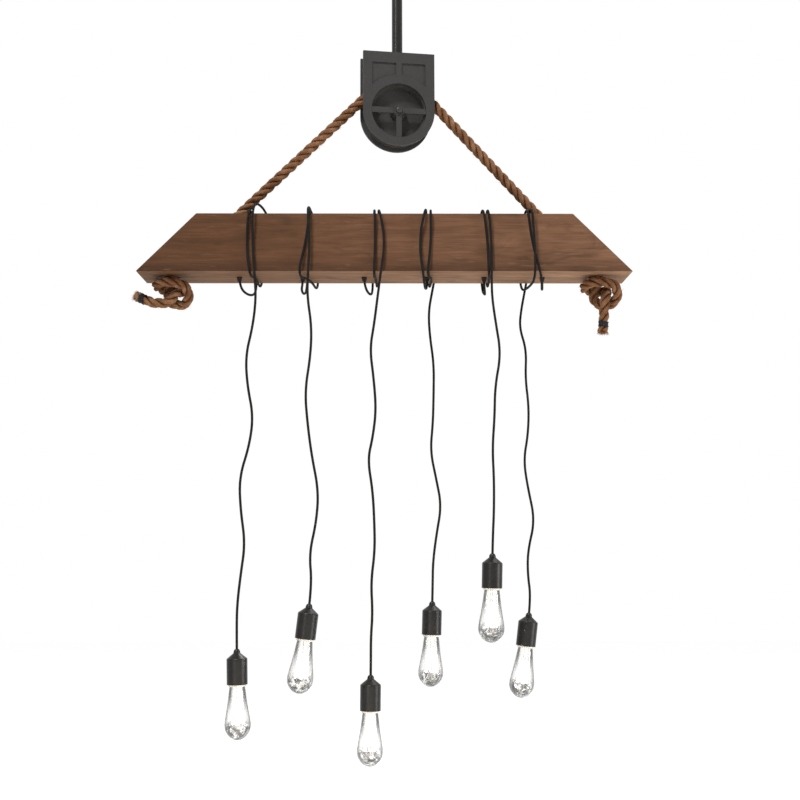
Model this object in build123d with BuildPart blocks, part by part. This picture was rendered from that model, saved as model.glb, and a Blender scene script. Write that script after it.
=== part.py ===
from build123d import *
import math
import os

# Wood beam pendant light: a mitred timber beam slung on rope from an iron pulley block,
# with six lamps that hang on fabric cords wound round the beam.
# Millimetres, +Z up, +X to the right and -Y to the front.
# The origin is the middle of the mounting bar's top face, on the ceiling.

# Heights of the main parts below the ceiling
BEAM_BOTTOM = -920.0
AXLE_Z = BEAM_BOTTOM + 418.0

# Ceiling fitting
BAR_LENGTH = 114.0
BAR_WIDTH = 18.0
BAR_THICKNESS = 2.5
BOX_SCREW_SPACING = 88.9
BOX_SLOT_LENGTH = 14.0
BOX_SLOT_WIDTH = 5.0
CANOPY_RADIUS = 65.0
CANOPY_DEPTH = 28.0
CANOPY_WALL = 1.5
CANOPY_ROUND = 14.0
NIPPLE_RADIUS = 5.0
NIPPLE_BORE = 3.3
NIPPLE_BELOW_BAR_FACE = 0.2
NIPPLE_SHORT = 1.0
FIT = 0.05
NUT_ACROSS_FLATS = 16.0
NUT_HEIGHT = 5.0

# Ball swivel that lets the stem hang plumb
BALL_RADIUS = 11.0
BALL_Z = -53.0
BALL_SEAT_GAP = 0.08
CUP_RADIUS = 17.0
CUP_CHAMFER = 3.0
CUP_BORE = 14.0
CUP_TOP_Z = -35.0
CUP_LIP_RADIUS = 10.5
CUP_BOTTOM_Z = -65.0
CUP_LEDGE_Z = -61.0
RING_INNER = 8.4
RING_OUTER = 13.95
RING_TOP_Z = -55.0
RING_LAND = 0.5
CAP_TOP_Z = -28.0
CAP_SPIGOT_Z = -41.0
NECK_RADIUS = 4.5

# Stem, a three-quarter inch iron pipe
STEM_RADIUS = 13.35
STEM_BORE = 10.4
STEM_TOP_Z = -79.0
STEM_CAP_RADIUS = 16.5
STEM_CAP_TOP = 5.0
STEM_CAP_CHAMFER = 4.0
STEM_CAP_SKIRT = 18.0
NECK_ENGAGEMENT = 4.0
STEM_ENGAGEMENT = 28.0

# Pulley block, which hangs turned a little from the beam
BLOCK_YAW = math.radians(8.4)
CHEEK_HALF_WIDTH = 90.0
CHEEK_TOP = 150.0
CHEEK_PLATE = 5.0
CHEEK_RELIEF = 3.0
CHEEK_GAP = 45.0
WINDOW_RADIUS = 69.0
RING_RELIEF_RADIUS = 92.0
SIDE_BAR = 23.0
TOP_BAR = 28.0
CENTRE_RIB = 14.0
SPOKE_WIDTH = 14.0
SPOKE_LIFT = 1.5
SPOKE_OVERLAP = 2.0
BOSS_RADIUS = 13.0
HUB_RADIUS = 15.0
SPACER_WIDTH = 64.0
SPACER_HEIGHT = 40.0
AXLE_RADIUS = 6.0
AXLE_HEAD_RADIUS = 8.5
AXLE_HEAD_HEIGHT = 6.0
AXLE_HEAD_FLAT = 1.0
AXLE_THREAD_SHOWN = 2.0
AXLE_NUT_ACROSS_FLATS = 19.0

# Sheave and rope, whose two bends over the sheave leave a short level run between them
ROPE_RADIUS = 13.0
ROPE_TURN_RADIUS = 86.0
ROPE_BEND_RADIUS = 83.4
GROOVE_GAP = 1.3
GROOVE_RADIUS = 30.0
SHEAVE_WIDTH = 43.0
SHEAVE_FLANGE_RADIUS = 80.0
SHEAVE_RIM_INNER = 66.0
SHEAVE_WEB = 8.0
SHEAVE_HUB_RADIUS = 17.0
SHEAVE_DRAFT = 3.0
LEFT_HOLE_X = -483.0
RIGHT_HOLE_X = 428.0
KNOT_START = 20.0

# Timber beam
BEAM_LENGTH = 1200.0
BEAM_HEIGHT = 143.0
BEAM_DEPTH = 140.0
BEAM_MID_X = -31.0
BEAM_EASE = 1.5
ROPE_HOLE_RADIUS = 14.6
CHANNEL_LEFT = -378.0
CHANNEL_RIGHT = 330.0
CHANNEL_WIDTH = 32.0
CHANNEL_DEPTH = 42.0
COVER_THICKNESS = 9.0
COVER_REBATE = 6.0
COVER_PLAY = 0.8
WIRE_HOLE_RADIUS = 3.6
WIRE_HOLE_INSET = 8.0
CONNECTOR_SIZE = (30.0, 18.0, 12.0)
CONNECTOR_X = [-71.0, -31.0, 9.0]

# Cords and the bushings that they leave the beam through
CORD_RADIUS = 3.0
CORD_INSIDE = 4.0
CORD_STRAIGHT = 14.0
BUSHING_X = [-390.0, -234.0, -82.0, 73.0, 214.0, 358.0]
BUSHING_SHANK_RADIUS = 5.0
BUSHING_SHANK = 14.0
BUSHING_FLANGE_RADIUS = 6.8
BUSHING_FLANGE_HEIGHT = 3.0
BUSHING_NECK_RADIUS = 5.8
BUSHING_LENGTH = 10.0
BUSHING_TIP_RADIUS = 5.0
BUSHING_FLARE = 1.0
BUSHING_FLARE_TOP = -4.0
PIVOT_BELOW_BEAM = 12.0
PIVOT_GAP = 1.0
EDGE_BEND = 18.0
EDGE_TURN = 60.0
ARC_SHARE = 0.45

# Lamp holder and lamp, measured down from the top of the cord grip
GRIP_TOP_RADIUS = 4.5
GRIP_CHAMFER = 1.0
GRIP_RADIUS = 8.0
GRIP_HEIGHT = 9.0
GRIP_ROUND = 12.0
CORD_IN_GRIP = 17.0
SHELL_RADIUS = 24.0
SHELL_WALL = 1.4
SHOULDER_FOOT = 20.5
SHOULDER_FOOT_RADIUS = 22.4
SHELL_ROUND = 4.0
SHELL_TOP = 23.5
CAP_FLOOR = 14.0
SHELL_BOTTOM = 80.0
CORE_TOP = 34.0
CORE_CHAMFER = 3.0
CORE_BOTTOM = 78.0
CORE_RIM_BOTTOM = 84.0
CORE_RIM_RADIUS = 20.5
CORE_MOUTH_RADIUS = 18.8
BASE_RADIUS = 13.2
BASE_TOP = 51.0
BASE_CONTACT_RADIUS = 4.5
BASE_CONTACT_HEIGHT = 2.0
BASE_SHOULDER = 5.0
BASE_BOTTOM = 77.0
GLASS_WALL = 0.8
GLASS_OUTLINE = [
    (13.0, -77.0), (16.8, -82.0), (18.8, -91.0), (21.2, -111.0), (24.8, -135.0), (28.8, -158.0),
    (30.3, -172.0), (28.4, -184.0), (21.2, -195.5), (10.6, -203.2), (0.0, -206.5),
]

# Where a cord goes as it winds round the beam: depth y, height z above the beam's bottom,
# and the outward direction in which a loose strand lifts
STATIONS = {
    "front_foot": (-86.0, -16.0, -0.7, -0.7),
    "front": (-71.5, 72.0, -1.0, 0.0),
    "front_head": (-86.0, 159.0, -0.7, 0.7),
    "top": (0.0, 144.5, 0.0, 1.0),
    "rear_head": (86.0, 159.0, 0.7, 0.7),
    "rear": (71.5, 72.0, 1.0, 0.0),
    "rear_foot": (86.0, -16.0, 0.7, -0.7),
    "under": (0.0, -1.5, 0.0, -1.0),
}

# Each winding's first loose points under its bushing (x, y, z above the beam's bottom),
# then the stations that it passes, each with its x and its lift, then where it lets go
WINDINGS = [
    {
        "loop": [(-382.0, 14.0, -34.0), (-364.0, 46.0, -38.0)],
        "turns": [
            ("rear_foot", -356.0, 0.0), ("rear", -358.0, 0.0), ("rear_head", -359.0, 0.0),
            ("top", -359.0, 0.0), ("front_head", -359.0, 0.0), ("front", -366.0, 0.0),
            ("front_foot", -356.0, 0.0), ("under", -350.0, 0.0), ("rear_foot", -344.0, 0.0),
            ("rear", -338.0, 0.0), ("rear_head", -324.0, 4.0), ("top", -335.0, 36.0),
            ("front_head", -350.0, 8.0), ("front", -351.0, 4.0),
        ],
        "pivot": (-344.0, -80.0),
    },
    {
        "loop": [(-238.0, 12.0, -30.0), (-234.0, 46.0, -34.0)],
        "turns": [
            ("rear_foot", -229.0, 0.0), ("rear", -226.0, 0.0), ("rear_head", -223.0, 0.0),
            ("top", -217.0, 0.0), ("front_head", -211.0, 0.0), ("front", -222.0, 0.0),
            ("front_foot", -242.0, 2.0), ("under", -215.0, 4.0), ("rear_foot", -200.0, 6.0),
            ("rear", -202.0, 0.0), ("rear_head", -205.0, 0.0), ("top", -209.0, 8.0),
            ("front_head", -219.0, 9.0), ("front", -212.0, 9.0),
        ],
        "pivot": (-216.0, -85.0),
    },
    {
        "loop": [(-76.0, 14.0, -32.0), (-66.0, 44.0, -36.0)],
        "turns": [
            ("rear_foot", -62.0, 0.0), ("rear", -61.0, 0.0), ("rear_head", -60.0, 0.0),
            ("top", -58.0, 0.0), ("front_head", -56.0, 0.0), ("front", -54.0, 0.0),
            ("front_foot", -58.0, 0.0), ("under", -54.0, 0.0), ("rear_foot", -50.0, 0.0),
            ("rear", -49.0, 0.0), ("rear_head", -48.0, 0.0), ("top", -47.0, 0.0),
            ("front_head", -46.0, 0.0), ("front", -30.0, 4.0),
        ],
        "pivot": (-42.0, -80.0),
    },
    {
        "loop": [(71.0, -14.0, -32.0), (66.0, -50.0, -38.0)],
        "turns": [
            ("front_foot", 62.0, 4.0), ("front", 51.0, 0.0), ("front_head", 68.0, 3.0),
            ("top", 72.0, 0.0), ("rear_head", 74.0, 0.0), ("rear", 77.0, 0.0),
            ("rear_foot", 80.0, 0.0), ("under", 86.0, 2.0), ("front_foot", 70.0, 3.0),
            ("front", 81.0, 0.0), ("front_head", 79.0, 0.0), ("top", 84.0, 0.0),
            ("rear_head", 94.0, 0.0), ("rear", 106.0, 4.0),
        ],
        "pivot": (90.0, 80.0),
    },
    {
        "loop": [(217.0, 12.0, -39.0), (219.0, 44.0, -34.0)],
        "turns": [
            ("rear_foot", 216.0, 0.0), ("rear", 210.0, 0.0), ("rear_head", 205.0, 0.0),
            ("top", 205.0, 0.0), ("front_head", 207.0, 0.0), ("front", 218.0, 0.0),
            ("front_foot", 219.0, 0.0), ("under", 228.0, 0.0), ("rear_foot", 228.0, 0.0),
            ("rear", 224.0, 0.0), ("rear_head", 220.0, 0.0), ("top", 219.0, 0.0),
            ("front_head", 219.0, 0.0), ("front", 227.0, 4.0),
        ],
        "pivot": (226.0, -80.0),
    },
    {
        "loop": [(356.0, -14.0, -34.0), (350.0, -50.0, -40.0)],
        "turns": [
            ("front_foot", 346.0, 0.0), ("front", 325.0, 0.0), ("front_head", 314.0, 0.0),
            ("top", 313.0, 0.0), ("rear_head", 312.0, 0.0), ("rear", 312.0, 0.0),
            ("rear_foot", 313.0, 2.0), ("under", 325.0, 24.0), ("front_foot", 331.0, 8.0),
            ("front", 331.0, 8.0), ("front_head", 324.0, 5.0), ("top", 323.0, 0.0),
            ("rear_head", 330.0, 0.0), ("rear", 341.0, 4.0),
        ],
        "pivot": (325.0, 80.0),
    },
]

# Each drop's points (x, z above the beam's bottom) from just below its pivot to the lamp holder
DROPS = [
    [(-340.0, -70.0), (-347.0, -138.0), (-363.0, -208.0), (-358.0, -280.0), (-343.0, -352.0),
     (-351.0, -422.0), (-374.0, -498.0), (-370.0, -574.0), (-358.0, -652.0), (-368.0, -728.0),
     (-375.0, -796.0), (-375.0, -856.0), (-373.6, -912.0)],
    [(-217.0, -66.0), (-206.0, -138.0), (-208.0, -208.0), (-221.0, -294.0), (-214.0, -372.0),
     (-204.0, -446.0), (-187.0, -530.0), (-192.0, -604.0), (-208.0, -676.0), (-201.1, -746.0),
     (-208.6, -809.0)],
    [(-49.0, -68.0), (-57.0, -132.0), (-67.0, -192.0), (-58.0, -262.0), (-52.0, -338.0),
     (-60.0, -404.0), (-72.0, -456.0), (-60.0, -530.0), (-56.0, -606.0), (-55.0, -672.0),
     (-64.0, -742.0), (-60.0, -812.0), (-64.0, -870.0), (-64.0, -922.0), (-64.5, -972.0)],
    [(79.0, -70.0), (82.0, -132.0), (92.0, -204.0), (91.0, -280.0), (89.0, -352.0),
     (82.0, -424.0), (96.0, -492.0), (109.0, -560.0), (96.0, -632.0), (87.0, -700.0),
     (86.0, -760.0), (84.5, -812.0)],
    [(226.0, -64.0), (234.0, -126.0), (246.0, -204.0), (231.0, -282.0), (229.0, -356.0),
     (223.0, -430.0), (226.0, -504.0), (225.0, -580.0), (221.5, -640.0), (220.0, -694.0)],
    [(314.0, -66.0), (309.0, -112.0), (326.0, -168.0), (322.0, -240.0), (330.0, -312.0),
     (327.0, -382.0), (315.0, -446.0), (324.0, -514.0), (341.0, -596.0), (322.0, -672.0),
     (321.0, -730.0), (327.8, -784.0), (321.0, -840.0)],
]

# Knot under each end of the beam, from where its hole meets the underside: down the middle,
# out to the right, up and across the front, round the back and out below the front strand,
# then the tail
LEFT_KNOT = [
    (0.0, 0.0, -6.0), (-5.0, 9.0, -64.0), (53.0, 7.0, -67.0), (53.0, -31.0, -20.0),
    (-28.0, -33.0, -17.0), (-28.0, 33.0, -16.0), (26.0, 34.0, -17.0), (25.0, -20.0, -46.0),
    (4.0, -27.0, -70.0), (-34.0, -25.0, -70.0), (-64.0, -19.0, -62.0), (-92.0, -14.0, -49.0),
]
RIGHT_KNOT = [
    (0.0, 0.0, -6.0), (-18.0, 11.0, -62.0), (46.0, 9.0, -65.0), (46.0, -31.0, -20.0),
    (-32.0, -33.0, -17.0), (-32.0, 33.0, -16.0), (24.0, 34.0, -17.0), (17.0, -21.0, -46.0),
    (6.0, -28.0, -92.0), (4.0, -22.0, -140.0),
]
BAND_RADIUS = 13.9
BAND_LENGTH = 13.0
BAND_FROM_END = 12.0
BAND_PLAY = 0.3

XZ_FRONT = Plane(origin=(0, 0, 0), x_dir=(1, 0, 0), z_dir=(0, -1, 0))

# The block's own directions: along the cheeks, and from the front cheek to the rear one
BLOCK_RIGHT = Vector(math.cos(BLOCK_YAW), math.sin(BLOCK_YAW), 0)
BLOCK_BACK = Vector(-math.sin(BLOCK_YAW), math.cos(BLOCK_YAW), 0)


def save(piece, label):
    """Names a finished piece and writes it to its own file."""
    piece.part.label = label
    export_step(piece.part, "parts/" + label + ".step")


def section(x, y, z, up=(0.0, 0.0, 1.0)):
    """A plane through a piece's own axis: across is the radius, and up is along the axis."""
    across = (up[2], 0.0, -up[0])
    return Plane(origin=(x, y, z), x_dir=across, z_dir=(0, -1, 0))


def turned(plane, outline):
    """A solid of revolution about the plane's upward axis, from (radius, height) points."""
    with BuildPart() as piece:
        with BuildSketch(plane):
            with BuildLine():
                Polyline(*outline, close=True)
            make_face()
        revolve(axis=Axis(plane.origin, plane.y_dir))
    return piece


def arc_radii(points, edge_radius=math.inf):
    """The radius of the arc at each corner of a route: as its two runs allow, or round an edge."""
    radii = []
    for before, here, after in zip(points, points[1:], points[2:]):
        run_in = Vector(*here) - Vector(*before)
        run_out = Vector(*after) - Vector(*here)
        turn = run_in.get_angle(run_out)
        radius = ARC_SHARE * min(run_in.length, run_out.length) / math.tan(math.radians(turn) / 2)
        radii.append(min(radius, edge_radius) if turn > EDGE_TURN else radius)
    return radii


def tube(points, radii, radius):
    """A round cord or rope: straight runs joined by tangent arcs."""
    with BuildPart() as piece:
        with BuildLine():
            route = FilletPolyline(*points, radius=radii)
        with BuildSketch(Plane(origin=route @ 0, z_dir=route % 0)):
            Circle(radius)
        sweep()
    share = piece.part.volume / (math.pi * radius * radius * route.length)
    print("length", round(route.length, 1), "volume share", round(share, 4), end=" ")
    print("least radius", round(min(radii), 1))
    return piece, route


def least_gap(line, radius, step=4.0):
    """The smallest gap between a tube's own turns, measured on points along its line."""
    count = int(line.length / step)
    places = [line @ (i / count) for i in range(count + 1)]
    apart = int(math.pi * 2.2 * radius / step) + 1
    least = 1e9
    for i, first in enumerate(places):
        for second in places[i + apart:]:
            least = min(least, (first - second).length)
    return least - 2 * radius


# Ceiling fitting

def crossbar():
    """The flat bar that two screws hold against the ceiling's junction box."""
    with BuildPart() as bar:
        with BuildSketch(Plane.XY.offset(-BAR_THICKNESS)):
            RectangleRounded(BAR_LENGTH, BAR_WIDTH, 4.0)
            with GridLocations(BOX_SCREW_SPACING, 0, 2, 1):
                SlotOverall(BOX_SLOT_LENGTH, BOX_SLOT_WIDTH, mode=Mode.SUBTRACT)
            Circle(NIPPLE_RADIUS + FIT, mode=Mode.SUBTRACT)
        extrude(amount=BAR_THICKNESS)
    return bar


def canopy():
    """The dished cover over the junction box, open towards the ceiling."""
    inner = CANOPY_RADIUS - CANOPY_WALL
    floor = -CANOPY_DEPTH
    flat = CANOPY_RADIUS - CANOPY_ROUND
    with BuildPart() as dish:
        with BuildSketch(XZ_FRONT):
            with BuildLine():
                Line((NIPPLE_RADIUS + FIT, floor), (flat, floor))
                RadiusArc((flat, floor), (CANOPY_RADIUS, floor + CANOPY_ROUND), -CANOPY_ROUND)
                Line((CANOPY_RADIUS, floor + CANOPY_ROUND), (CANOPY_RADIUS, 0))
                Line((CANOPY_RADIUS, 0), (inner, 0))
                Line((inner, 0), (inner, floor + CANOPY_ROUND))
                RadiusArc((inner, floor + CANOPY_ROUND), (flat, floor + CANOPY_WALL), inner - flat)
                Line((flat, floor + CANOPY_WALL), (NIPPLE_RADIUS + FIT, floor + CANOPY_WALL))
                Line((NIPPLE_RADIUS + FIT, floor + CANOPY_WALL), (NIPPLE_RADIUS + FIT, floor))
            make_face()
        revolve(axis=Axis.Z)
    return dish


def canopy_nipple():
    """The hollow threaded rod that hangs the canopy and the swivel from the bar."""
    top = -NIPPLE_BELOW_BAR_FACE
    bottom = CAP_SPIGOT_Z + NIPPLE_SHORT
    outline = [
        (NIPPLE_BORE, top), (NIPPLE_RADIUS, top), (NIPPLE_RADIUS, bottom), (NIPPLE_BORE, bottom),
    ]
    return turned(XZ_FRONT, outline)


def canopy_nuts():
    """The hexagon nut under the bar and the one inside the canopy."""
    with BuildPart() as nuts:
        for top in (-BAR_THICKNESS, -CANOPY_DEPTH + CANOPY_WALL + NUT_HEIGHT):
            with BuildSketch(Plane.XY.offset(top - NUT_HEIGHT)):
                RegularPolygon(NUT_ACROSS_FLATS / 2, 6, major_radius=False)
                Circle(NIPPLE_RADIUS + FIT, mode=Mode.SUBTRACT)
            extrude(amount=NUT_HEIGHT)
    return nuts


def swivel_cap():
    """The cap that screws on the nipple and closes the swivel cup."""
    bore = NIPPLE_RADIUS + FIT
    outline = [
        (bore, CAP_TOP_Z), (CUP_RADIUS - CUP_CHAMFER, CAP_TOP_Z),
        (CUP_RADIUS, CAP_TOP_Z - CUP_CHAMFER), (CUP_RADIUS, CUP_TOP_Z),
        (CUP_BORE - FIT, CUP_TOP_Z), (CUP_BORE - FIT, CAP_SPIGOT_Z), (bore, CAP_SPIGOT_Z),
    ]
    return turned(XZ_FRONT, outline)


def swivel_cup():
    """The cup under the canopy whose lip carries the ball's ring."""
    outline = [
        (CUP_BORE, CUP_TOP_Z), (CUP_RADIUS, CUP_TOP_Z), (CUP_RADIUS, CUP_BOTTOM_Z + CUP_CHAMFER),
        (CUP_RADIUS - CUP_CHAMFER, CUP_BOTTOM_Z), (CUP_LIP_RADIUS, CUP_BOTTOM_Z),
        (CUP_LIP_RADIUS, CUP_LEDGE_Z),
        (CUP_BORE, CUP_LEDGE_Z),
    ]
    return turned(XZ_FRONT, outline)


def swivel_ring():
    """The ring in the cup: it turns on the lip and the ball tilts in it."""
    seat = BALL_RADIUS + BALL_SEAT_GAP
    top_radius = math.sqrt(seat ** 2 - (RING_TOP_Z - BALL_Z) ** 2)
    bottom_radius = math.sqrt(seat ** 2 - (CUP_LEDGE_Z + RING_LAND - BALL_Z) ** 2)
    with BuildPart() as ring:
        with BuildSketch(XZ_FRONT):
            with BuildLine():
                Line((top_radius, RING_TOP_Z), (RING_OUTER, RING_TOP_Z))
                Line((RING_OUTER, RING_TOP_Z), (RING_OUTER, CUP_LEDGE_Z))
                Line((RING_OUTER, CUP_LEDGE_Z), (RING_INNER, CUP_LEDGE_Z))
                Line((RING_INNER, CUP_LEDGE_Z), (bottom_radius, CUP_LEDGE_Z + RING_LAND))
                RadiusArc((bottom_radius, CUP_LEDGE_Z + RING_LAND), (top_radius, RING_TOP_Z), -seat)
            make_face()
        revolve(axis=Axis.Z)
    return ring


def swivel_ball():
    """The hollow ball and its neck, which screws into the cap on the stem."""
    with BuildPart() as ball:
        with Locations((0, 0, BALL_Z)):
            Sphere(BALL_RADIUS)
        with BuildSketch(Plane.XY.offset(STEM_TOP_Z - NECK_ENGAGEMENT)):
            Circle(NECK_RADIUS)
        extrude(amount=BALL_Z - STEM_TOP_Z + NECK_ENGAGEMENT)
        with BuildSketch(Plane.XY.offset(STEM_TOP_Z - NECK_ENGAGEMENT)):
            Circle(NIPPLE_BORE)
        extrude(amount=BALL_Z - STEM_TOP_Z + NECK_ENGAGEMENT + BALL_RADIUS, mode=Mode.SUBTRACT)
    return ball


# Stem

def stem_cap():
    """The turned cap on the stem's top, which takes the ball's neck."""
    top = STEM_TOP_Z + STEM_CAP_TOP
    skirt = STEM_TOP_Z - STEM_CAP_SKIRT
    bore = NECK_RADIUS + FIT
    socket = STEM_RADIUS + FIT
    outline = [
        (bore, top), (STEM_CAP_RADIUS - STEM_CAP_CHAMFER, top), (STEM_CAP_RADIUS, top - STEM_CAP_CHAMFER),
        (STEM_CAP_RADIUS, skirt), (socket, skirt), (socket, STEM_TOP_Z), (bore, STEM_TOP_Z),
    ]
    return turned(XZ_FRONT, outline)


def stem():
    """The iron pipe from the swivel down into the pulley block."""
    bottom = AXLE_Z + CHEEK_TOP - STEM_ENGAGEMENT
    outline = [(STEM_BORE, STEM_TOP_Z), (STEM_RADIUS, STEM_TOP_Z), (STEM_RADIUS, bottom), (STEM_BORE, bottom)]
    return turned(XZ_FRONT, outline)


# Pulley block

def cheek_outline():
    """The cheek's outer edge: square at the top and half round at the bottom."""
    Circle(CHEEK_HALF_WIDTH)
    with Locations((0, CHEEK_TOP / 2)):
        Rectangle(2 * CHEEK_HALF_WIDTH, CHEEK_TOP)


def cheek_panels():
    """The two sunk panels between the top bar, the side bars, the centre rib and the ring."""
    width = CHEEK_HALF_WIDTH - SIDE_BAR - CENTRE_RIB / 2
    height = CHEEK_TOP - TOP_BAR
    with Locations((0, height / 2)):
        with GridLocations(width + CENTRE_RIB, 0, 2, 1):
            Rectangle(width, height)


def cheek(facing):
    """One cast side plate of the block, with a round window behind a T of spokes."""
    middle = Vector(0, 0, AXLE_Z) + BLOCK_BACK * (facing * CHEEK_GAP / 2)
    inner_face = Plane(origin=middle, x_dir=BLOCK_RIGHT * -facing, z_dir=BLOCK_BACK * facing)
    with BuildPart() as plate:
        with BuildSketch(inner_face):
            cheek_outline()
            Circle(WINDOW_RADIUS, mode=Mode.SUBTRACT)
        extrude(amount=CHEEK_PLATE)
        with BuildSketch(inner_face.offset(CHEEK_PLATE)):
            cheek_outline()
            with BuildSketch(mode=Mode.SUBTRACT):
                cheek_panels()
                Circle(RING_RELIEF_RADIUS, mode=Mode.SUBTRACT)
            Circle(WINDOW_RADIUS, mode=Mode.SUBTRACT)
        extrude(amount=CHEEK_RELIEF)
        with BuildSketch(inner_face):
            Rectangle(2 * (WINDOW_RADIUS + SPOKE_OVERLAP), SPOKE_WIDTH)
            with Locations((0, -(WINDOW_RADIUS + SPOKE_OVERLAP) / 2)):
                Rectangle(SPOKE_WIDTH, WINDOW_RADIUS + SPOKE_OVERLAP)
            Circle(HUB_RADIUS)
        extrude(amount=CHEEK_PLATE + SPOKE_LIFT)
        with BuildSketch(inner_face):
            Circle(BOSS_RADIUS)
        extrude(amount=CHEEK_PLATE + CHEEK_RELIEF)
        with BuildSketch(inner_face):
            Circle(AXLE_RADIUS + FIT)
        extrude(amount=CHEEK_PLATE + CHEEK_RELIEF, mode=Mode.SUBTRACT)
    return plate


def block_spacer():
    """The iron block that joins the cheeks at the top and takes the stem."""
    foot = Plane(origin=(0, 0, AXLE_Z + CHEEK_TOP - SPACER_HEIGHT), x_dir=BLOCK_RIGHT, z_dir=(0, 0, 1))
    with BuildPart() as spacer:
        with BuildSketch(foot):
            Rectangle(SPACER_WIDTH, CHEEK_GAP)
        extrude(amount=SPACER_HEIGHT)
        with BuildSketch(Plane.XY.offset(AXLE_Z + CHEEK_TOP - STEM_ENGAGEMENT)):
            Circle(STEM_RADIUS + FIT)
        extrude(amount=STEM_ENGAGEMENT, mode=Mode.SUBTRACT)
        with BuildSketch(foot):
            Circle(STEM_BORE)
        extrude(amount=SPACER_HEIGHT, mode=Mode.SUBTRACT)
    return spacer


def axle_face(depth):
    """A plane across the axle at a depth from the block's middle, facing the front."""
    return Plane(origin=Vector(0, 0, AXLE_Z) + BLOCK_BACK * depth, x_dir=BLOCK_RIGHT, z_dir=BLOCK_BACK * -1)


def axle():
    """The pin that the sheave turns on, with a domed head at the front."""
    outer = CHEEK_GAP / 2 + CHEEK_PLATE + CHEEK_RELIEF
    with BuildPart() as pin:
        with BuildSketch(axle_face(outer + NUT_HEIGHT + AXLE_THREAD_SHOWN)):
            Circle(AXLE_RADIUS)
        extrude(amount=2 * outer + NUT_HEIGHT + AXLE_THREAD_SHOWN)
        with BuildSketch(axle_face(-outer)):
            Circle(AXLE_HEAD_RADIUS)
        extrude(amount=AXLE_HEAD_HEIGHT)
        fillet(pin.edges().sort_by(Axis((0, 0, AXLE_Z), BLOCK_BACK))[0], AXLE_HEAD_HEIGHT - AXLE_HEAD_FLAT)
    return pin


def axle_nut():
    """The nut that holds the axle at the back."""
    outer = CHEEK_GAP / 2 + CHEEK_PLATE + CHEEK_RELIEF
    with BuildPart() as nut:
        with BuildSketch(axle_face(outer + NUT_HEIGHT)):
            RegularPolygon(AXLE_NUT_ACROSS_FLATS / 2, 6, major_radius=False)
            Circle(AXLE_RADIUS + FIT, mode=Mode.SUBTRACT)
        extrude(amount=NUT_HEIGHT)
    return nut


def sheave():
    """The grooved wheel that the rope runs over."""
    groove_floor = ROPE_TURN_RADIUS - ROPE_RADIUS - GROOVE_GAP
    half = SHEAVE_WIDTH / 2
    lip = math.sqrt(GROOVE_RADIUS ** 2 - (groove_floor + GROOVE_RADIUS - SHEAVE_FLANGE_RADIUS) ** 2)
    web = SHEAVE_WEB / 2
    rim_foot = SHEAVE_RIM_INNER - SHEAVE_DRAFT
    hub_foot = SHEAVE_HUB_RADIUS + SHEAVE_DRAFT
    bore = AXLE_RADIUS + FIT
    side = Plane(origin=(0, 0, AXLE_Z), x_dir=BLOCK_BACK, z_dir=BLOCK_RIGHT)
    with BuildPart() as wheel:
        with BuildSketch(side):
            with BuildLine():
                ThreePointArc(
                    (-lip, SHEAVE_FLANGE_RADIUS), (0, groove_floor), (lip, SHEAVE_FLANGE_RADIUS),
                )
                Polyline(
                    (lip, SHEAVE_FLANGE_RADIUS), (half, SHEAVE_FLANGE_RADIUS), (half, SHEAVE_RIM_INNER),
                    (web, rim_foot), (web, hub_foot), (half, SHEAVE_HUB_RADIUS),
                    (half, bore), (-half, bore), (-half, SHEAVE_HUB_RADIUS), (-web, hub_foot),
                    (-web, rim_foot), (-half, SHEAVE_RIM_INNER), (-half, SHEAVE_FLANGE_RADIUS),
                    (-lip, SHEAVE_FLANGE_RADIUS),
                )
            make_face()
        revolve(axis=Axis((0, 0, AXLE_Z), BLOCK_BACK))
    return wheel


# Rope and beam

def rope_corner(hole_x):
    """Where a rope run would meet the level line over the sheave, on that hole's side."""
    rise = AXLE_Z - (BEAM_BOTTOM + BEAM_HEIGHT / 2)
    lean = math.atan2(abs(hole_x), rise) - math.asin(ROPE_TURN_RADIUS / math.hypot(hole_x, rise))
    reach = ROPE_TURN_RADIUS * math.tan((math.pi / 2 - lean) / 2)
    return Vector(0, 0, AXLE_Z + ROPE_TURN_RADIUS) + BLOCK_RIGHT * math.copysign(reach, hole_x)


def rope_line(hole_x):
    """A point at the middle of a rope hole and the direction from it up to the sheave."""
    start = Vector(hole_x, 0, BEAM_BOTTOM + BEAM_HEIGHT / 2)
    return start, (rope_corner(hole_x) - start).normalized()


def along(line, height):
    """The point of a rope line at a height above the beam's bottom."""
    start, direction = line
    return start + direction * ((BEAM_BOTTOM + height - start.Z) / direction.Z)


def rope():
    """The rope from one knot up over the sheave and down to the other."""
    points = [
        along(rope_line(LEFT_HOLE_X), KNOT_START), rope_corner(LEFT_HOLE_X),
        rope_corner(RIGHT_HOLE_X), along(rope_line(RIGHT_HOLE_X), KNOT_START),
    ]
    piece, line = tube(points, [ROPE_BEND_RADIUS, ROPE_BEND_RADIUS], ROPE_RADIUS)
    return piece


def knot_points(hole_x, shape):
    """The route of a knot, from inside its hole to the rope's cut end."""
    line = rope_line(hole_x)
    bend = along(line, shape[0][2])
    points = [along(line, KNOT_START), bend]
    for x, y, z in shape[1:]:
        points.append(Vector(bend.X + x, bend.Y + y, BEAM_BOTTOM + z))
    return points


def knot(hole_x, shape):
    """The stopper knot that carries one end of the beam, with its tail."""
    points = knot_points(hole_x, shape)
    piece, line = tube(points, arc_radii(points), ROPE_RADIUS)
    print("knot gap", round(least_gap(line, ROPE_RADIUS, 3.0), 2))
    return piece


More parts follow.
